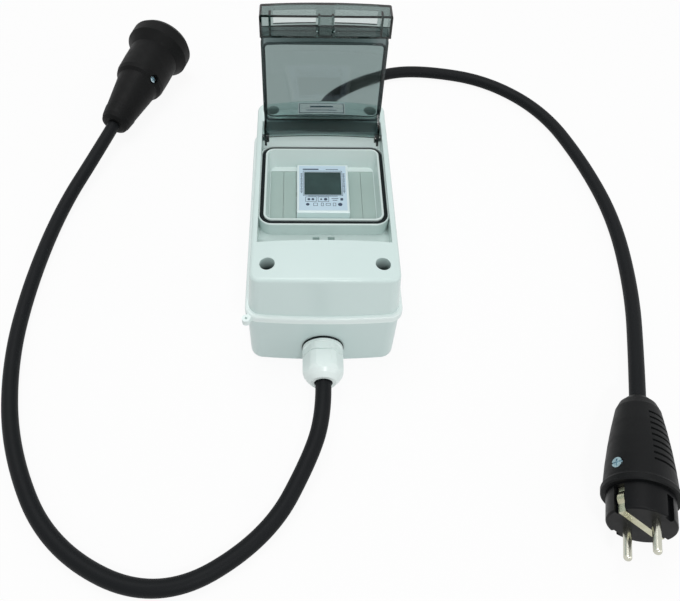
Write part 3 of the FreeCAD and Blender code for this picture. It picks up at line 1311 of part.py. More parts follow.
def plug_earth_strap():
    """One bent strip: across the face and down both side channels."""
    t = EARTH_STRAP_THICKNESS
    w = EARTH_STRAP_WIDTH / 2
    reach = PLUG_INSERT_RADIUS - EARTH_GROOVE_DEPTH
    foot = -PLUG_COLLAR_BACK + PLUG_COLLAR_THICKNESS + 1.2
    face = box(-w, w, -reach - t, reach + t, -t, 0)
    legs = [box(-w, w, min(sy * reach, sy * (reach + t)), max(sy * reach, sy * (reach + t)), foot, 0)
            for sy in (-1, 1)]
    bulges = []
    for sy in (-1, 1):
        bulge = Part.makeCylinder(6.5, 2 * w, Vector(-w, sy * (reach - 4.4), -9), X_AXIS)
        outside = box(-w, w, min(sy * (reach + t / 2), sy * (reach + 5)),
                      max(sy * (reach + t / 2), sy * (reach + 5)), -20, 0)
        bulges.append(bulge.common(outside))
    return fused([face] + legs + bulges)


def side_screw(seat, z, head_radius):
    """A screw that enters along -Y, its head's underside at the seat distance from the axis."""
    head = rod(head_radius, Vector(0, seat, z), Vector(0, seat + 1.9, z))
    shank = rod(SIDE_SCREW_RADIUS, Vector(0, seat, z), Vector(0, seat - SIDE_SCREW_LENGTH, z))
    slot = box(-4, 4, seat + 1.0, seat + 3, z - 0.5, z + 0.5)
    cross = box(-0.5, 0.5, seat + 1.0, seat + 3, z - head_radius + 1, z + head_radius - 1)
    return head.fuse(shank).removeSplitter().cut(slot).cut(cross)


def plug_screw():
    return side_screw(plug_seat, -PLUG_SCREW_BACK, 3.4)


# Socket: made with its cord end at height 0, opening up along Z

socket_face = SOCKET_LENGTH
well_floor = SOCKET_LENGTH - SOCKET_WELL_DEPTH
insert_foot = well_floor - SOCKET_INSERT_FLOOR
head_foot = SOCKET_LENGTH - SOCKET_HEAD_LENGTH
cup_foot = well_floor - 1.2
socket_seat = SOCKET_WAIST_RADIUS - 1.8


def socket_body():
    head = SOCKET_HEAD_RADIUS
    bore = SOCKET_INSERT_RADIUS + FIT
    cup = SOCKET_CUP_RADIUS + FIT
    step = SOCKET_STEP
    tail = SOCKET_TAIL_RADIUS
    profile = [(0, 0), (tail - 5.6, 0), (tail - 2.4, 1.6), (tail - 1.2, 5.0), (tail, SOCKET_TAIL_BAND),
               (tail - 0.5, SOCKET_TAIL_BAND + 0.6), (tail - 0.2, SOCKET_TAIL_BAND + 2.0),
               (SOCKET_WAIST_RADIUS, step), (SOCKET_GRIP_RADIUS - 1.4, step + 2.5),
               (SOCKET_GRIP_RADIUS - 0.4, step + 6.0), (SOCKET_GRIP_RADIUS, step + 20.0),
               (SOCKET_GRIP_RADIUS, head_foot - 7.0), (head - 2.6, head_foot - 2.0),
               (head, head_foot + 1.6), (head, socket_face - 4.2), (head - 3.0, socket_face),
               (cup, socket_face), (cup, cup_foot), (bore, cup_foot), (bore, insert_foot),
               (0, insert_foot)]
    body = turned(profile)
    outside = Vector(0, SOCKET_HEAD_RADIUS, SOCKET_SCREW_FORWARD)
    screw_way = rod(SCREW_WAY_RADIUS, outside, Vector(0, socket_seat, SOCKET_SCREW_FORWARD))
    screw_hole = rod(SIDE_SCREW_RADIUS + FIT, outside,
                     Vector(0, socket_seat - SIDE_SCREW_LENGTH - 1, SOCKET_SCREW_FORWARD))
    return cut_all(body, [screw_way, screw_hole])


def socket_insert():
    body = turned([(0, insert_foot), (SOCKET_INSERT_RADIUS, insert_foot),
                   (SOCKET_INSERT_RADIUS, cup_foot), (SOCKET_CUP_RADIUS, cup_foot),
                   (SOCKET_CUP_RADIUS, socket_face - 0.6), (SOCKET_WELL_RADIUS, socket_face - 0.6),
                   (SOCKET_WELL_RADIUS, well_floor), (0, well_floor)])
    cuts = []
    for sx in (-1, 1):
        cuts.append(post(PIN_RADIUS + SLEEVE_CLEARANCE + SLEEVE_WALL + FIT, sx * PIN_SPACING / 2, 0,
                         insert_foot + 2, well_floor - 2))
        cuts.append(post(PIN_RADIUS + 0.25, sx * PIN_SPACING / 2, 0, insert_foot + 2, well_floor + 1))
    for sy in (-1, 1):
        cuts.append(box(-3.2, 3.2, min(sy * 18.2, sy * 21.4), max(sy * 18.2, sy * 21.4),
                        well_floor - 1, socket_face + 1))
    return cut_all(body, cuts)


def socket_sleeves():
    """Sprung brass tubes that take the pins."""
    sleeves = []
    for sx in (-1, 1):
        x = sx * PIN_SPACING / 2
        outer = post(PIN_RADIUS + SLEEVE_CLEARANCE + SLEEVE_WALL, x, 0, insert_foot + 2, well_floor - 2)
        inner = post(PIN_RADIUS + SLEEVE_CLEARANCE, x, 0, insert_foot + 3.5, well_floor)
        sleeves.append(outer.cut(inner))
    return Part.makeCompound(sleeves)


EARTH_CLIP_WIDTH = 4.8
EARTH_CLIP_STRIP = 0.8
EARTH_CLIP_REACH = 21.3
EARTH_CLIP_BOW_RADIUS = 9.0
EARTH_CLIP_BOW_OUT = 27.6
EARTH_CLIP_BOW_HEIGHT = 7.0


def socket_earth_clips():
    """Two bowed springs in the side of the well."""
    clips = []
    w = EARTH_CLIP_WIDTH / 2
    front = EARTH_CLIP_REACH - EARTH_CLIP_STRIP
    for sy in (-1, 1):
        y0, y1 = sorted((sy * front, sy * EARTH_CLIP_REACH))
        back = box(-w, w, y0, y1, well_floor - 1, socket_face - 2)
        centre = Vector(-w, sy * EARTH_CLIP_BOW_OUT, well_floor + EARTH_CLIP_BOW_HEIGHT)
        bow = Part.makeCylinder(EARTH_CLIP_BOW_RADIUS, EARTH_CLIP_WIDTH, centre, X_AXIS)
        hollow = Part.makeCylinder(EARTH_CLIP_BOW_RADIUS - EARTH_CLIP_STRIP, EARTH_CLIP_WIDTH, centre, X_AXIS)
        bow = bow.cut(hollow)
        y0, y1 = sorted((sy * (front + 0.1), sy * (EARTH_CLIP_BOW_OUT - EARTH_CLIP_BOW_RADIUS - 1)))
        near_side = box(-w, w, y0, y1, well_floor, socket_face)
        clips.append(fused([back, bow.common(near_side)]))
    return Part.makeCompound(clips)


def socket_screw():
    return side_screw(socket_seat, SOCKET_SCREW_FORWARD, 2.7)


# Every piece of the assembly, by the name of its file

def all_pieces():
    pieces = {
        "base_shell": base_shell(),
        "front_cover": front_cover(),
        "cover_seal": cover_seal(),
        "window_gasket": window_gasket(),
        "window_lid": window_lid(),
        "cover_screws": cover_screws(),
        "label_plate": label_plate(),
        "blanking_strips": blanking_strips(),
        "din_rail": din_rail(),
        "rail_screws": rail_screws(),
        "meter_housing": meter_housing(),
        "meter_front": meter_front(),
        "meter_faceplate": meter_faceplate(),
        "meter_display": meter_display(),
        "meter_board": meter_board(),
        "meter_terminals": meter_terminals(),
        "meter_terminal_screws": meter_terminal_screws(),
        "meter_rail_clip": meter_rail_clip(),
        "earth_terminal": earth_terminal(),
        "earth_terminal_screws": earth_terminal_screws(),
        "live_wires": live_wires(),
        "neutral_wires": neutral_wires(),
        "earth_wires": earth_wires(),
        "lead_tails": lead_tails(),
        "socket_lead": socket_lead(),
        "plug_lead": plug_lead(),
    }
    for name, end in (("near", -1), ("far", 1)):
        pieces["gland_body_" + name] = in_wall(gland_body(), end)
        pieces["gland_nut_" + name] = in_wall(gland_nut(), end)
        pieces["gland_seal_" + name] = in_wall(gland_seal(), end)
        pieces["gland_locknut_" + name] = in_wall(gland_locknut(), end)
        pieces["gland_ring_" + name] = in_wall(gland_ring(), end)
    for name, make in (("body", plug_body), ("insert", plug_insert), ("pins", plug_pins),
                       ("earth_strap", plug_earth_strap), ("screw", plug_screw)):
        pieces["plug_" + name] = placed(make(), PLUG_FRAME)
    for name, make in (("body", socket_body), ("insert", socket_insert),
                       ("sleeves", socket_sleeves), ("earth_clips", socket_earth_clips),
                       ("screw", socket_screw)):
        pieces["socket_" + name] = placed(make(), SOCKET_FRAME)
    return pieces


os.makedirs("parts", exist_ok=True)
for piece_name, piece_shape in all_pieces().items():
    save(piece_name, piece_shape)
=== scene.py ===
import math

import bmesh
import bpy
from mathutils import Matrix, Vector


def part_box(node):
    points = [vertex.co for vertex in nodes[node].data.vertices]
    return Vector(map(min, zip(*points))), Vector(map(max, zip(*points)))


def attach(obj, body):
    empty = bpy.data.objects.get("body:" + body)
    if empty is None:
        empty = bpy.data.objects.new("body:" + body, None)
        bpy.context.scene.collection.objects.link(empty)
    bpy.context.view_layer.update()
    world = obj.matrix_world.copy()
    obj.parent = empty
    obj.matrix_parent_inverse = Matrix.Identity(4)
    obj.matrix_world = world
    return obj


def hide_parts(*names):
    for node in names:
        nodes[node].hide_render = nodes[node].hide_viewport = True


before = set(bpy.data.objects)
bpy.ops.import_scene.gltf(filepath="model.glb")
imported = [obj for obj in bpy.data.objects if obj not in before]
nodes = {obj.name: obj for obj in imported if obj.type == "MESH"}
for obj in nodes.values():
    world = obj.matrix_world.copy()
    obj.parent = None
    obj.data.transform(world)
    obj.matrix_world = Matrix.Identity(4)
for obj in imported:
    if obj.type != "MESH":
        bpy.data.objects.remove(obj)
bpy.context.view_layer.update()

print("frame loaded,", len(nodes), "pieces")


# ways to write materials

def srgb(red, green, blue, alpha=1.0):
    # the colour as the eye reads it, turned into the linear value that a socket takes
    def linear(c):
        return c / 12.92 if c <= 0.04045 else ((c + 0.055) / 1.055) ** 2.4
    return (linear(red), linear(green), linear(blue), alpha)


def newMaterial(name):
    material = bpy.data.materials.new(name)
    material.use_nodes = True
    tree = material.node_tree
    shader = tree.nodes["Principled BSDF"]
    place = tree.nodes.new("ShaderNodeTexCoord")
    return material, tree, shader, place.outputs["Object"]


def addNoise(tree, place, scale, detail=3.0, roughness=0.55, stretch=None):
    noise = tree.nodes.new("ShaderNodeTexNoise")
    noise.inputs["Scale"].default_value = scale
    noise.inputs["Detail"].default_value = detail
    noise.inputs["Roughness"].default_value = roughness
    if stretch:
        mapping = tree.nodes.new("ShaderNodeMapping")
        mapping.inputs["Scale"].default_value = stretch
        tree.links.new(place, mapping.inputs["Vector"])
        place = mapping.outputs["Vector"]
    tree.links.new(place, noise.inputs["Vector"])
    return noise.outputs["Fac"]


def addRange(tree, value, low, high, fromLow=0.3, fromHigh=0.7):
    remap = tree.nodes.new("ShaderNodeMapRange")
    remap.inputs["From Min"].default_value = fromLow
    remap.inputs["From Max"].default_value = fromHigh
    remap.inputs["To Min"].default_value = low
    remap.inputs["To Max"].default_value = high
    tree.links.new(value, remap.inputs["Value"])
    return remap.outputs["Result"]


def addMix(tree, factor, first, second):
    mix = tree.nodes.new("ShaderNodeMix")
    mix.data_type = "RGBA"
    for socket, colour in ((mix.inputs["A"], first), (mix.inputs["B"], second)):
        if isinstance(colour, tuple):
            socket.default_value = colour
        else:
            tree.links.new(colour, socket)
    tree.links.new(factor, mix.inputs["Factor"])
    return mix.outputs["Result"]


def addMath(tree, operation, first, second):
    node = tree.nodes.new("ShaderNodeMath")
    node.operation = operation
    for socket, value in zip(node.inputs, (first, second)):
        if isinstance(value, float):
            socket.default_value = value
        else:
            tree.links.new(value, socket)
    return node.outputs["Value"]


def addVectorMath(tree, operation, first, second=(0.0, 0.0, 0.0)):
    node = tree.nodes.new("ShaderNodeVectorMath")
    node.operation = operation
    tree.links.new(first, node.inputs[0])
    node.inputs[1].default_value = second
    return node.outputs["Value"] if operation == "LENGTH" else node.outputs["Vector"]


def addBump(tree, shader, height, strength, distance):
    bump = tree.nodes.new("ShaderNodeBump")
    bump.inputs["Strength"].default_value = strength
    bump.inputs["Distance"].default_value = distance
    tree.links.new(height, bump.inputs["Height"])
    tree.links.new(bump.outputs["Normal"], shader.inputs["Normal"])


plasticGrain = {
    "cloudScale": 34.0,
    "smearScale": 60.0,
    "spread": (0.2, 0.8),
    "glossier": 0.008,
    "duller": 0.012,
    "scale": 1500.0,
    "depth": 0.00012,
}


def mouldedPlastic(name, shade, darker, rough, grain, grainScale=plasticGrain["scale"]):
    # a moulded surface: cloudy colour, uneven gloss and the tool's fine grain
    material, tree, shader, place = newMaterial(name)
    cloud = addNoise(tree, place, plasticGrain["cloudScale"], detail=4.0)
    clouded = addRange(tree, cloud, 0.0, 1.0, *plasticGrain["spread"])
    tree.links.new(addMix(tree, clouded, shade, darker), shader.inputs["Base Color"])
    smear = addNoise(tree, place, plasticGrain["smearScale"], detail=3.0, roughness=0.5)
    glossy = rough - plasticGrain["glossier"]
    dull = rough + plasticGrain["duller"]
    uneven = addRange(tree, smear, glossy, dull, *plasticGrain["spread"])
    tree.links.new(uneven, shader.inputs["Roughness"])
    fine = addNoise(tree, place, grainScale, detail=2.0)
    addBump(tree, shader, fine, grain, plasticGrain["depth"])
    return material


bead = {  # heights on the cover, in metres
    "bottom": 0.0475,
    "flatTop": 0.0523,
    "top": 0.0542,
    "fade": 0.0003,
    "swell": 0.0014,
    # painted highlight: the band's paler colour stands in for the light it catches
    "shade": srgb(0.94, 0.99, 0.982),
}

# painted shade in the screw wells: where they lie and how deep the shade reaches
wellShade = {  # metres from the box's middle, and heights
    "middle": (0.0, 0.0023, 0.0),
    "reach": (0.0358, 0.0721, 0.0),
    "radius": 0.0050,
    "top": 0.0874,
    "foot": 0.0730,
    # painted shade colour at the wells' foot
    "shade": srgb(0.13, 0.165, 0.165),
}

recess = {  # the opening that the lid shuts into, in metres
    "middle": (0.0, 0.0049, 0.0),
    "half": (0.04295, 0.05695),
    # painted shade colour inside the recess
    "shade": srgb(0.826, 0.886, 0.875),
}


def overlay(tree, shader, factor, shade):
    plain = shader.inputs["Base Color"].links[0].from_socket
    tree.links.new(addMix(tree, factor, plain, shade), shader.inputs["Base Color"])


def swellAndHighlightBead(tree, shader, height):
    # the band round the cover's foot is painted paler, a painted highlight where it catches the light,
    # and a bump rounds its flat face in the light
    highlitBand = addRange(tree, height, 1.0, 0.0, bead["top"], bead["top"] + bead["fade"])
    overlay(tree, shader, highlitBand, bead["shade"])
    along = addRange(tree, height, 0.0, 1.0, bead["bottom"], bead["flatTop"])
    square = addMath(tree, "MULTIPLY", along, along)
    bulge = tree.nodes.new("ShaderNodeBump")
    bulge.inputs["Distance"].default_value = bead["swell"]
    tree.links.new(addMath(tree, "SUBTRACT", 1.0, square), bulge.inputs["Height"])
    grain = shader.inputs["Normal"].links[0].from_node
    tree.links.new(bulge.outputs["Normal"], grain.inputs["Normal"])


def paintWellShade(tree, shader, place, height):
    # painted shade: the four screw wells are coloured darker with depth, standing in for the shadow in
    # them
    across = addVectorMath(tree, "SUBTRACT", place, wellShade["middle"])
    across = addVectorMath(tree, "MULTIPLY", across, (1.0, 1.0, 0.0))
    across = addVectorMath(tree, "ABSOLUTE", across)
    across = addVectorMath(tree, "SUBTRACT", across, wellShade["reach"])
    inWell = addMath(tree, "LESS_THAN", addVectorMath(tree, "LENGTH", across), wellShade["radius"])
    depth = addRange(tree, height, 1.0, 0.0, wellShade["foot"], wellShade["top"])
    overlay(tree, shader, addMath(tree, "MULTIPLY", inWell, depth), wellShade["shade"])


def paintRecessShade(tree, shader, place):
    # painted shade: inside the lid's recess the plastic is coloured a darker, more neutral grey, standing
    # in for the shade there
    across = addVectorMath(tree, "SUBTRACT", place, recess["middle"])
    split = tree.nodes.new("ShaderNodeSeparateXYZ")
    tree.links.new(addVectorMath(tree, "ABSOLUTE", across), split.inputs[0])
    halfX, halfY = recess["half"]
    within = addMath(tree, "LESS_THAN", split.outputs["X"], halfX)
    along = addMath(tree, "LESS_THAN", split.outputs["Y"], halfY)
    overlay(tree, shader, addMath(tree, "MULTIPLY", within, along), recess["shade"])


def coverPlastic():
    material = mouldedPlastic("coverPlastic", shade=srgb(0.846, 0.918, 0.908),
                              darker=srgb(0.836, 0.910, 0.899), rough=0.25, grain=0.10)
    tree = material.node_tree
    shader = tree.nodes["Principled BSDF"]
    place = tree.nodes["Texture Coordinate"].outputs["Object"]
    split = tree.nodes.new("ShaderNodeSeparateXYZ")
    tree.links.new(place, split.inputs[0])
    paintRecessShade(tree, shader, place)
    swellAndHighlightBead(tree, shader, split.outputs["Z"])
    paintWellShade(tree, shader, place, split.outputs["Z"])
    return material


# painted shade: the base shell is the cover's plastic coloured a little darker, standing in for the shade
# below the cover's band
def shadedBoxPlastic():
    return mouldedPlastic("shadedBoxPlastic", shade=srgb(0.812, 0.885, 0.877),
                          darker=srgb(0.800, 0.875, 0.866), rough=0.30, grain=0.06)


def stripPlastic():
    return mouldedPlastic("stripPlastic", shade=srgb(0.655, 0.735, 0.712),
                          darker=srgb(0.625, 0.705, 0.683), rough=0.42, grain=0.3, grainScale=900.0)


def meterPlastic():
    return mouldedPlastic("meterPlastic", shade=srgb(0.885, 0.945, 0.948),
                          darker=srgb(0.865, 0.928, 0.93), rough=0.30, grain=0.12)


def glandNylon():
    return mouldedPlastic("glandNylon", shade=srgb(0.942, 0.986, 0.978),
                          darker=srgb(0.925, 0.972, 0.962), rough=0.28, grain=0.08)


def clipPlastic():
    return mouldedPlastic("clipPlastic", shade=srgb(0.25, 0.26, 0.27),
                          darker=srgb(0.21, 0.22, 0.23), rough=0.45, grain=0.2)


def labelFilm():
    return mouldedPlastic("labelFilm", shade=srgb(0.775, 0.865, 0.915),
                          darker=srgb(0.745, 0.84, 0.895), rough=0.30, grain=0.05, grainScale=700.0)


def platePlastic():
    return mouldedPlastic("platePlastic", shade=srgb(0.985, 0.985, 0.99),
                          darker=srgb(0.965, 0.97, 0.98), rough=0.25, grain=0.05, grainScale=700.0)


pane = {  # measures on the open lid, in metres
    "halfWidth": 0.0396,
    "bottom": 0.0922,
    "top": 0.1557,
    "corner": 0.003,
    "hoodFoot": 0.1675,
    "line": 0.0009,
    "lineShare": 0.7,
    "hubTop": 0.0772,
    "sideFoot": 0.0862,
    "ior": 1.5,
    "whole": (0.98, 0.99, 0.99, 1.0),
    "clear": (0.71, 0.74, 0.75, 1.0),
    # frame: partly the frame's own tint, partly painted shade; side and edge: painted shade on the lid's
    # sides and round the pane
    "frame": (0.38, 0.41, 0.43, 1.0),
    "side": (0.13, 0.15, 0.16, 1.0),
    "edge": (0.03, 0.035, 0.04, 1.0),
    "tint": (0.126, 0.28, 0.256, 1.0),
    "density": 525.0,
    "fade": 0.0002,
    "smearScale": 70.0,
    "rough": (0.015, 0.07),
    "rippleScale": 45.0,
    "ripple": 0.08,
    "rippleDepth": 0.0003,
}


def outsidePane(tree, place):
    # how far a point lies outside the clear pane of the open lid, seen from the front
    halfHeight = (pane["top"] - pane["bottom"]) / 2
    middle = (0.0, 0.0, (pane["top"] + pane["bottom"]) / 2)
    corner = (pane["halfWidth"] - pane["corner"], 0.0, halfHeight - pane["corner"])
    across = addVectorMath(tree, "SUBTRACT", place, middle)
    across = addVectorMath(tree, "MULTIPLY", across, (1.0, 0.0, 1.0))
    across = addVectorMath(tree, "ABSOLUTE", across)
    across = addVectorMath(tree, "SUBTRACT", across, corner)
    across = addVectorMath(tree, "MAXIMUM", across)
    reach = addVectorMath(tree, "LENGTH", across)
    return addMath(tree, "SUBTRACT", reach, pane["corner"])


def smokeLid():
    # clear smoke-tinted moulding: its depth holds a tint; the frame round the pane is darker, partly its
    # own tint and partly painted shade for the shadowed pocket seen through the hinge band, and the
    # pane's outline and the lid's sides are painted near-black as painted shade where those edges are
    # seen edge-on
    material, tree, shader, place = newMaterial("smokeLid")
    outside = outsidePane(tree, place)
    split = tree.nodes.new("ShaderNodeSeparateXYZ")
    tree.links.new(place, split.inputs[0])
    height = split.outputs["Z"]
    fade = pane["fade"]
    belowHood = addRange(tree, height, 1.0, 0.0, pane["hoodFoot"], pane["hoodFoot"] + fade)
    overHubs = addRange(tree, height, 0.0, 1.0, pane["hubTop"], pane["hubTop"] + fade)
    inPlate = addMath(tree, "MULTIPLY", belowHood, overHubs)
    inPane = addRange(tree, outside, 1.0, 0.0, 0.0, fade)
    fromLine = addMath(tree, "ABSOLUTE", outside, 0.0)
    # painted shade: a near-black line round the pane
    onShadedEdge = addRange(tree, fromLine, 1.0, 0.0, pane["line"] * pane["lineShare"], pane["line"])
    # painted shade on the lid's sides above the arms
    sideways = addMath(tree, "ABSOLUTE", split.outputs["X"], 0.0)
    onShadedSide = addMath(tree, "GREATER_THAN", sideways, pane["halfWidth"])
    overArms = addMath(tree, "GREATER_THAN", height, pane["sideFoot"])
    onShadedSide = addMath(tree, "MULTIPLY", onShadedSide, overArms)
    frameShade = addMix(tree, onShadedSide, pane["frame"], pane["side"])
    plateShade = addMix(tree, inPane, frameShade, pane["clear"])
    whole = addMix(tree, inPlate, pane["whole"], plateShade)
    tree.links.new(addMix(tree, onShadedEdge, whole, pane["edge"]), shader.inputs["Base Color"])
    shader.inputs["Transmission Weight"].default_value = 1.0
    shader.inputs["IOR"].default_value = pane["ior"]
    smear = addNoise(tree, place, pane["smearScale"], detail=5.0, roughness=0.6)
    tree.links.new(addRange(tree, smear, *pane["rough"]), shader.inputs["Roughness"])
    ripple = addNoise(tree, place, pane["rippleScale"], detail=2.0)
    addBump(tree, shader, ripple, pane["ripple"], pane["rippleDepth"])
    tint = tree.nodes.new("ShaderNodeVolumeAbsorption")
    tint.inputs["Color"].default_value = pane["tint"]
    tint.inputs["Density"].default_value = pane["density"]
    output = tree.nodes["Material Output"]
    tree.links.new(tint.outputs["Volume"], output.inputs["Volume"])
    return material


rubberGrain = {
    "cloudScale": 60.0,
    "bloomScale": 160.0,
    "bloom": 0.06,
    "specular": 0.13,
    "depth": 0.0002,
}


def rubber(name, shade, darker, rough, grainScale, grain, depth=rubberGrain["depth"],
           bloom=rubberGrain["bloom"]):
    material, tree, shader, place = newMaterial(name)
    cloud = addNoise(tree, place, rubberGrain["cloudScale"], detail=5.0, roughness=0.6)
    colour = addMix(tree, addRange(tree, cloud, 0.0, 1.0), shade, darker)
    tree.links.new(colour, shader.inputs["Base Color"])
    bloomed = addNoise(tree, place, rubberGrain["bloomScale"], detail=4.0, roughness=0.6)
    uneven = addRange(tree, bloomed, rough - bloom, rough + bloom)
    tree.links.new(uneven, shader.inputs["Roughness"])
    shader.inputs["Specular IOR Level"].default_value = rubberGrain["specular"]
    addBump(tree, shader, addNoise(tree, place, grainScale), grain, depth)
    return material


def cordRubber():
    return rubber("cordRubber", shade=srgb(0.066, 0.076, 0.085), darker=srgb(0.060, 0.070, 0.079),
                  rough=0.52, grainScale=900.0, grain=0.05, depth=0.00005, bloom=0.02)


def plugRubber():
    return rubber("plugRubber", shade=srgb(0.068, 0.074, 0.078), darker=srgb(0.056, 0.061, 0.065),
                  rough=0.48, grainScale=1100.0, grain=0.22)


def socketRubber():
    return rubber("socketRubber", shade=srgb(0.040, 0.044, 0.046), darker=srgb(0.032, 0.036, 0.038),
                  rough=0.55, grainScale=1100.0, grain=0.2)


def sealRubber():
    return rubber("sealRubber", shade=srgb(0.055, 0.100, 0.105), darker=srgb(0.040, 0.075, 0.080),
                  rough=0.46, grainScale=900.0, grain=0.2)


def insertPlastic():
    return rubber("insertPlastic", shade=srgb(0.060, 0.065, 0.072), darker=srgb(0.050, 0.054, 0.060),
                  rough=0.40, grainScale=1400.0, grain=0.12)


metalGrain = {
    "cloudScale": 220.0,
    "brushScale": 900.0,
    "glossier": 0.03,
    "duller": 0.05,
    "depth": 0.00004,
}


def metal(name, shade, darker, rough, grain, brushing=None):
    material, tree, shader, place = newMaterial(name)
    shader.inputs["Metallic"].default_value = 1.0
    cloud = addNoise(tree, place, metalGrain["cloudScale"], detail=4.0, roughness=0.6)
    colour = addMix(tree, addRange(tree, cloud, 0.0, 1.0), shade, darker)
    tree.links.new(colour, shader.inputs["Base Color"])
    brush = addNoise(tree, place, metalGrain["brushScale"], roughness=0.6, stretch=brushing)
    uneven = addRange(tree, brush, rough - metalGrain["glossier"], rough + metalGrain["duller"])
    tree.links.new(uneven, shader.inputs["Roughness"])
    addBump(tree, shader, brush, grain, metalGrain["depth"])
    return material


def nickel():
    return metal("nickel", shade=srgb(0.80, 0.80, 0.75), darker=srgb(0.74, 0.74, 0.69),
                 rough=0.20, grain=0.02, brushing=(1.0, 1.0, 0.1))


def brassStrip():
    return metal("brassStrip", shade=srgb(0.79, 0.79, 0.70), darker=srgb(0.71, 0.70, 0.60),
                 rough=0.28, grain=0.06)


def zincSteel():
    return metal("zincSteel", shade=srgb(0.74, 0.82, 0.85), darker=srgb(0.62, 0.72, 0.76),
                 rough=0.28, grain=0.08)


core = {
    "darkerShare": 0.85,
    "live": srgb(0.33, 0.19, 0.11),
    "neutral": srgb(0.10, 0.30, 0.66),
    "green": srgb(0.20, 0.50, 0.16),
    "yellow": srgb(0.85, 0.80, 0.15),
    "stripeScale": 90.0,
    "stripeWaver": 1.0,
    "stripeEdge": (0.55, 0.6),
    "rough": 0.32,
}


def coreSheath(name, shade):
    darker = tuple(c * core["darkerShare"] for c in shade[:3]) + (1.0,)
    return mouldedPlastic(name, shade, darker, rough=0.30, grain=0.1)


def earthSheath():
    # green with a yellow stripe along the core
    material, tree, shader, place = newMaterial("earthSheath")
    stripe = tree.nodes.new("ShaderNodeTexWave")
    stripe.inputs["Scale"].default_value = core["stripeScale"]
    stripe.inputs["Distortion"].default_value = core["stripeWaver"]
    tree.links.new(place, stripe.inputs["Vector"])
    edge = addRange(tree, stripe.outputs["Fac"], 0.0, 1.0, *core["stripeEdge"])
    tree.links.new(addMix(tree, edge, core["green"], core["yellow"]), shader.inputs["Base Color"])
    shader.inputs["Roughness"].default_value = core["rough"]
    return material


def circuitBoard():
    return mouldedPlastic("circuitBoard", shade=srgb(0.08, 0.32, 0.17), darker=srgb(0.06, 0.25, 0.13),
                          rough=0.35, grain=0.15)


display = {
    "shade": srgb(0.200, 0.290, 0.285),
    "darker": srgb(0.165, 0.240, 0.235),
    "cloudScale": 60.0,
    "rough": 0.18,
    "glass": 0.4,
    "glassRough": 0.06,
}


def displayGlass():
    # the dark cell under clear glass
    material, tree, shader, place = newMaterial("displayGlass")
    cloud = addNoise(tree, place, display["cloudScale"])
    colour = addMix(tree, addRange(tree, cloud, 0.0, 1.0), display["shade"], display["darker"])
    tree.links.new(colour, shader.inputs["Base Color"])
    shader.inputs["Roughness"].default_value = display["rough"]
    shader.inputs["Coat Weight"].default_value = display["glass"]
    shader.inputs["Coat Roughness"].default_value = display["glassRough"]
    return material


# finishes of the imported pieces

materials = {
    "box": shadedBoxPlastic(),
    "cover": coverPlastic(),
    "strip": stripPlastic(),
    "lid": smokeLid(),
    "meter": meterPlastic(),
    "label": labelFilm(),
    "plate": platePlastic(),
    "display": displayGlass(),
    "board": circuitBoard(),
    "clip": clipPlastic(),
    "gland": glandNylon(),
    "seal": sealRubber(),
    "cord": cordRubber(),
    "plug": plugRubber(),
    "socket": socketRubber(),
    "insert": insertPlastic(),
    "nickel": nickel(),
    "brass": brassStrip(),
    "zinc": zincSteel(),
    "live": coreSheath("liveSheath", core["live"]),
    "neutral": coreSheath("neutralSheath", core["neutral"]),
    "earth": earthSheath(),
}

finishOf = {
    "box": ["base_shell"],
    "cover": ["front_cover"],
    "strip": ["blanking_strips"],
    "lid": ["window_lid"],
    "meter": ["meter_housing", "meter_front"],
    "label": ["meter_faceplate"],
    "plate": ["label_plate"],
    "display": ["meter_display"],
    "board": ["meter_board"],
    "clip": ["meter_rail_clip"],
    "gland": ["gland_body_near", "gland_body_far", "gland_nut_near", "gland_nut_far",
              "gland_locknut_near", "gland_locknut_far"],
    "seal": ["cover_seal", "window_gasket", "gland_seal_near", "gland_seal_far",
             "gland_ring_near", "gland_ring_far"],
    "cord": ["lead_tails", "socket_lead", "plug_lead"],
    "plug": ["plug_body"],
    "socket": ["socket_body"],
    "insert": ["plug_insert", "socket_insert"],
    "nickel": ["plug_pins"],
    "brass": ["plug_earth_strap", "socket_sleeves", "socket_earth_clips", "meter_terminals",
              "earth_terminal"],
    "zinc": ["cover_screws", "rail_screws", "din_rail", "meter_terminal_screws",
             "earth_terminal_screws", "plug_screw", "socket_screw"],
    "live": ["live_wires"],
    "neutral": ["neutral_wires"],
    "earth": ["earth_wires"],
}

for finish, names in finishOf.items():
    for name in names:
        mesh = nodes[name].data
        mesh.materials.clear()
        mesh.materials.append(materials[finish])
nodes["window_lid"].visible_shadow = False  # the thin smoke window hardly dims the light behind it
print("finishes set")


# leads

leads = {
    "diameter": 0.0105,  # metres
    "order": 3,
    "alongSteps": 16,
    "roundSteps": 8,
    "socketRoute": [  # millimetres
        (0, -113.56, 19), (0, -133.56, 19), (-7, -160, 13), (-34, -210, 5.25), (-94, -245, 5.25),
        (-160, -216, 5.25), (-197, -156, 5.25), (-213, -91, 5.25), (-214, -23, 5.25),
        (-206, 50, 5.25), (-185.563, 104.417, 14.164), (-175.7, 135.7, 17.785)],
    "plugRoute": [  # millimetres
        (0, 113.56, 19), (0, 133.56, 19), (1, 161, 13), (18, 199, 5.25), (65, 227, 5.25),
        (105, 230, 5.25), (161, 216, 5.25), (206, 172, 5.25), (227, 106, 5.25), (237, 40, 5.25),
        (231, -32, 5.25), (214.348, -94.409, 10.954), (204.871, -125.797, 14.690)],
}


def addObject(name, data):
    made = bpy.data.objects.new(name, data)
    bpy.context.scene.collection.objects.link(made)
    return made


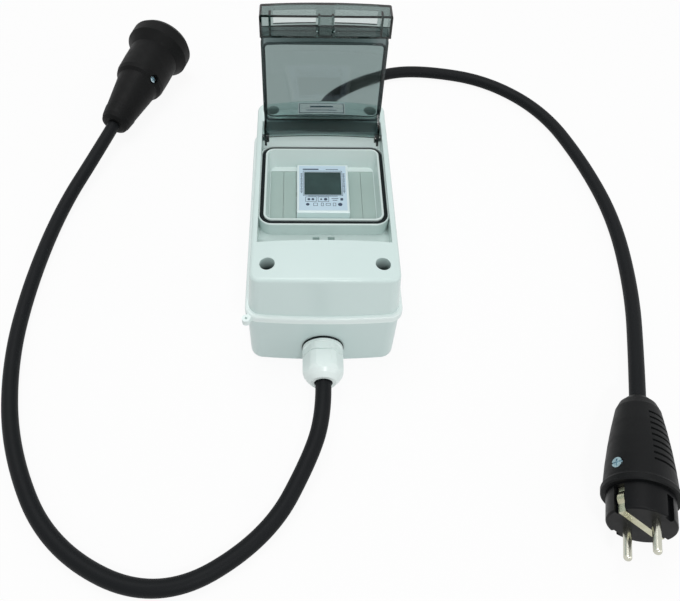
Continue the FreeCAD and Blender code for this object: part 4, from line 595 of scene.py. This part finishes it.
def leadCurve(name, route):
    # a round cord along the route, which is given in millimetres
    curve = bpy.data.curves.new(name, "CURVE")
    curve.dimensions = "3D"
    spline = curve.splines.new("NURBS")
    spline.points.add(len(route) - 1)
    for point, (x, y, z) in zip(spline.points, route):
        point.co = (x / 1000, y / 1000, z / 1000, 1.0)
    spline.order_u = leads["order"]
    spline.use_endpoint_u = True
    spline.resolution_u = leads["alongSteps"]
    curve.bevel_depth = leads["diameter"] / 2
    curve.bevel_resolution = leads["roundSteps"]
    curve.use_fill_caps = True
    curve.materials.append(materials["cord"])
    lead = addObject(name, curve)
    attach(lead, "box")
    return lead


socketCord = leadCurve("socketCord", leads["socketRoute"])
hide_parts("socket_lead")

plugCord = leadCurve("plugCord", leads["plugRoute"])
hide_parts("plug_lead")
print("leads laid")


# plain marks printed on the meter's face and on the plate, in millimetres

face = {
    "centre": (0.0, 2.5),
    "top": 80.0,
    "film": 0.04,
    "lift": 0.01,
    "displayHalf": (12.7, 11.0),
    "displayGap": 1.4,
    "displayShift": 4.2,
    "line": 0.3,
    "tickColumn": 14.6,
    "tickPitch": 1.2,
    "tickCount": 16,
    "tickSize": (1.3, 0.6),
    "shortEvery": 4,
    "shortShare": 0.6,
    "frames": [(-8.2, -10.9, 7.2, 4.2), (0.2, -10.9, 7.2, 4.2)],
    "rules": [(-8.2, 17.6, 11.0, 1.1), (6.6, 17.5, 8.6, 0.5), (0.0, -8.0, 20.0, 0.4),
              (8.0, -10.2, 4.6, 0.5), (8.0, -11.8, 3.2, 0.5), (12.6, -10.9, 1.8, 2.2)],
    "dots": [(-9.6, -10.9, 1.0), (-6.9, -10.9, 1.0), (-1.3, -10.9, 0.7), (1.7, -10.9, 1.2),
             (-10.4, -15.6, 1.2), (11.4, -15.6, 1.5)],
    "dotSides": 20,
    "squares": [(-5.2, -15.6, 2.6, 2.4), (-0.6, -15.6, 1.4, 2.6), (3.4, -15.6, 3.0, 1.8),
                (7.6, -15.6, 1.8, 2.6)],
}


def inkPrint():
    return mouldedPlastic("inkPrint", shade=srgb(0.20, 0.27, 0.36), darker=srgb(0.16, 0.23, 0.32),
                          rough=0.4, grain=0.05)


def outlineBars(x, y, width, length, line):
    # four bars round a rectangle about its centre
    bars = []
    for side in (-1, 1):
        bars.append((x, y + side * length / 2, width + line, line))
        bars.append((x + side * width / 2, y, line, length - line))
    return bars


def faceBars():
    bars = list(face["rules"])
    width, length = face["tickSize"]
    for side in (-1, 1):
        for i in range(face["tickCount"]):
            y = face["displayShift"] + (i - (face["tickCount"] - 1) / 2) * face["tickPitch"]
            reach = width if i % face["shortEvery"] else width * face["shortShare"]
            bars.append((side * face["tickColumn"], y, reach, length))
    halfX, halfY = face["displayHalf"]
    gap = face["displayGap"]
    bars += outlineBars(0, face["displayShift"], 2 * halfX + gap, 2 * halfY + gap, face["line"])
    for x, y, width, length in face["frames"] + face["squares"]:
        bars += outlineBars(x, y, width, length, face["line"])
    return bars


def addBars(bm, bars, film, cuts=0):
    # thin blocks, each cut into steps along X where it has to follow an arch
    for x, y, width, length in bars:
        made = bmesh.ops.create_cube(bm, size=1.0)
        bmesh.ops.scale(bm, verts=made["verts"], vec=(width, length, film))
        bmesh.ops.translate(bm, verts=made["verts"], vec=(x, y, 0))
        if cuts:
            edges = list({e for v in made["verts"] for e in v.link_edges
                          if abs(e.verts[0].co.x - e.verts[1].co.x) > width / 2})
            bmesh.ops.subdivide_edges(bm, edges=edges, cuts=cuts)


def meshFrom(name, bm):
    mesh = bpy.data.meshes.new(name)
    bm.to_mesh(mesh)
    bm.free()
    return mesh


def addMarks(name, bm, material):
    bmesh.ops.scale(bm, verts=bm.verts, vec=(0.001, 0.001, 0.001))
    mesh = meshFrom(name, bm)
    mesh.materials.append(material)
    marks = addObject(name, mesh)
    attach(marks, "box")


def printFace(ink):
    bm = bmesh.new()
    addBars(bm, faceBars(), face["film"])
    for x, y, radius in face["dots"]:
        made = bmesh.ops.create_cone(bm, segments=face["dotSides"], radius1=radius, radius2=radius,
                                     depth=face["film"], cap_ends=True)
        bmesh.ops.translate(bm, verts=made["verts"], vec=(x, y, 0))
    centreX, centreY = face["centre"]
    height = face["top"] + face["film"] / 2 + face["lift"]
    bmesh.ops.translate(bm, verts=bm.verts, vec=(centreX, centreY, height))
    addMarks("face_marks", bm, ink)


plate = {
    "margin": 1.2,
    "line": 0.5,
    "film": 0.05,
    "lift": 0.01,
    "above": 10.0,  # where the rays down to the plate start
    "rules": [(0.0, 1.6, 17.0, 1.6), (0.0, -2.2, 22.0, 0.7)],
    "cuts": 11,
}


def printPlate(ink):
    # a plain frame and two rules on the plate, which is arched with the cover
    (x0, y0, z0), (x1, y1, z1) = [[1000 * c for c in corner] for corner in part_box("label_plate")]
    width = x1 - x0 - 2 * plate["margin"]
    length = y1 - y0 - 2 * plate["margin"]
    bars = outlineBars(0, 0, width, length, plate["line"]) + plate["rules"]
    bm = bmesh.new()
    addBars(bm, bars, plate["film"], plate["cuts"])
    for vertex in bm.verts:
        x = vertex.co.x + (x0 + x1) / 2
        y = vertex.co.y + (y0 + y1) / 2
        above = (x / 1000, y / 1000, (z1 + plate["above"]) / 1000)
        found, spot = nodes["label_plate"].ray_cast(above, (0, 0, -1))[:2]
        height = spot.z * 1000 if found else z1
        vertex.co = (x, y, height + vertex.co.z + plate["film"] / 2 + plate["lift"])
    addMarks("plate_marks", bm, ink)


ink = inkPrint()
printFace(ink)
printPlate(ink)
print("marks printed")


# floor, light and camera

studio = {
    "floor": (0.9, 0.9, 0.9, 1.0),
    "floorRough": 0.9,
    "floorHalf": 4.0,
    "floorHeight": -0.0002,
    "glowShare": 0.92,
    "light": 0.455,
    "seen": 1.0,
}


def backgroundRays(tree):
    # 1 for what the camera sees directly, mirrored or through the lid
    path = tree.nodes.new("ShaderNodeLightPath")
    direct = addMath(tree, "MAXIMUM", path.outputs["Is Camera Ray"], path.outputs["Is Glossy Ray"])
    return addMath(tree, "MAXIMUM", direct, path.outputs["Is Transmission Ray"])


def layFloor():
    bm = bmesh.new()
    bmesh.ops.create_grid(bm, x_segments=1, y_segments=1, size=studio["floorHalf"])
    bmesh.ops.translate(bm, verts=bm.verts, vec=(0, 0, studio["floorHeight"]))
    floor = addObject("floor", meshFrom("floor", bm))
    material, tree, plain, place = newMaterial("floor")
    plain.inputs["Base Color"].default_value = studio["floor"]
    plain.inputs["Roughness"].default_value = studio["floorRough"]
    plain.inputs["Specular IOR Level"].default_value = 0.0
    glow = tree.nodes.new("ShaderNodeEmission")
    mix = tree.nodes.new("ShaderNodeMixShader")
    share = addMath(tree, "MULTIPLY", backgroundRays(tree), studio["glowShare"])
    tree.links.new(share, mix.inputs[0])
    tree.links.new(plain.outputs[0], mix.inputs[1])
    tree.links.new(glow.outputs[0], mix.inputs[2])
    tree.links.new(mix.outputs[0], tree.nodes["Material Output"].inputs["Surface"])
    floor.data.materials.append(material)


def lightWorld():
    # white where the camera sees it, and softer where it lights the object
    world = bpy.data.worlds.new("studio")
    bpy.context.scene.world = world
    world.use_nodes = True
    tree = world.node_tree
    sky = tree.nodes["Background"]
    sky.inputs["Color"].default_value = (1.0, 1.0, 1.0, 1.0)
    strength = addRange(tree, backgroundRays(tree), studio["light"], studio["seen"], 0.0, 1.0)
    tree.links.new(strength, sky.inputs["Strength"])


lamps = [
    {"name": "overhead", "place": (-0.15, 0.30, 1.5), "target": (0, 0, 0), "size": 1.0, "power": 8.2},
    {"name": "frontKey", "place": (0.20, -1.0, 1.05), "target": (0, 0, 0.05), "size": 0.16, "power": 3.4},
    {"name": "rightFill", "place": (1.3, -0.6, 0.6), "target": (0, 0, 0.05), "size": 0.7, "power": 2.0},
]


def softLamp(name, place, target, size, power):
    lamp = bpy.data.lights.new(name, "AREA")
    lamp.shape = "DISK"
    lamp.size = size
    lamp.energy = power
    holder = addObject(name, lamp)
    holder.location = place
    holder.rotation_euler = (Vector(target) - Vector(place)).to_track_quat("-Z", "Y").to_euler()


view = {  # metres, degrees and pixels
    "place": (-0.01622, -0.34696, 0.44133),
    "pitch": 52.0,
    "yaw": 1.70,
    "roll": 1.53,
    "image": (680, 601),
    "focal": 730.69,
    "centre": (312.23, 265.03),
    "sensor": 36.0,
    "nearest": 0.01,
}


def addCamera():
    pitch, yaw, roll = (math.radians(view[k]) for k in ("pitch", "yaw", "roll"))
    ahead = Vector((math.sin(yaw) * math.cos(pitch), math.cos(yaw) * math.cos(pitch), -math.sin(pitch)))
    right = Vector((math.cos(yaw), -math.sin(yaw), 0))
    up = right.cross(ahead)
    rolledRight = math.cos(roll) * right + math.sin(roll) * up
    rolledUp = math.cos(roll) * up - math.sin(roll) * right
    turn = Matrix((rolledRight, rolledUp, -ahead)).transposed()
    wide, high = view["image"]
    centreX, centreY = view["centre"]
    lens = bpy.data.cameras.new("camera")
    lens.sensor_width = view["sensor"]
    lens.lens = view["focal"] * view["sensor"] / wide
    lens.shift_x = (wide / 2 - centreX) / wide
    lens.shift_y = (centreY - high / 2) / wide
    lens.clip_start = view["nearest"]
    camera = addObject("camera", lens)
    camera.matrix_world = Matrix.Translation(view["place"]) @ turn.to_4x4()
    bpy.context.scene.camera = camera


layFloor()
lightWorld()
for lamp in lamps:
    softLamp(**lamp)
addCamera()
bpy.context.scene.view_settings.view_transform = "Standard"
print("camera and lamps placed")
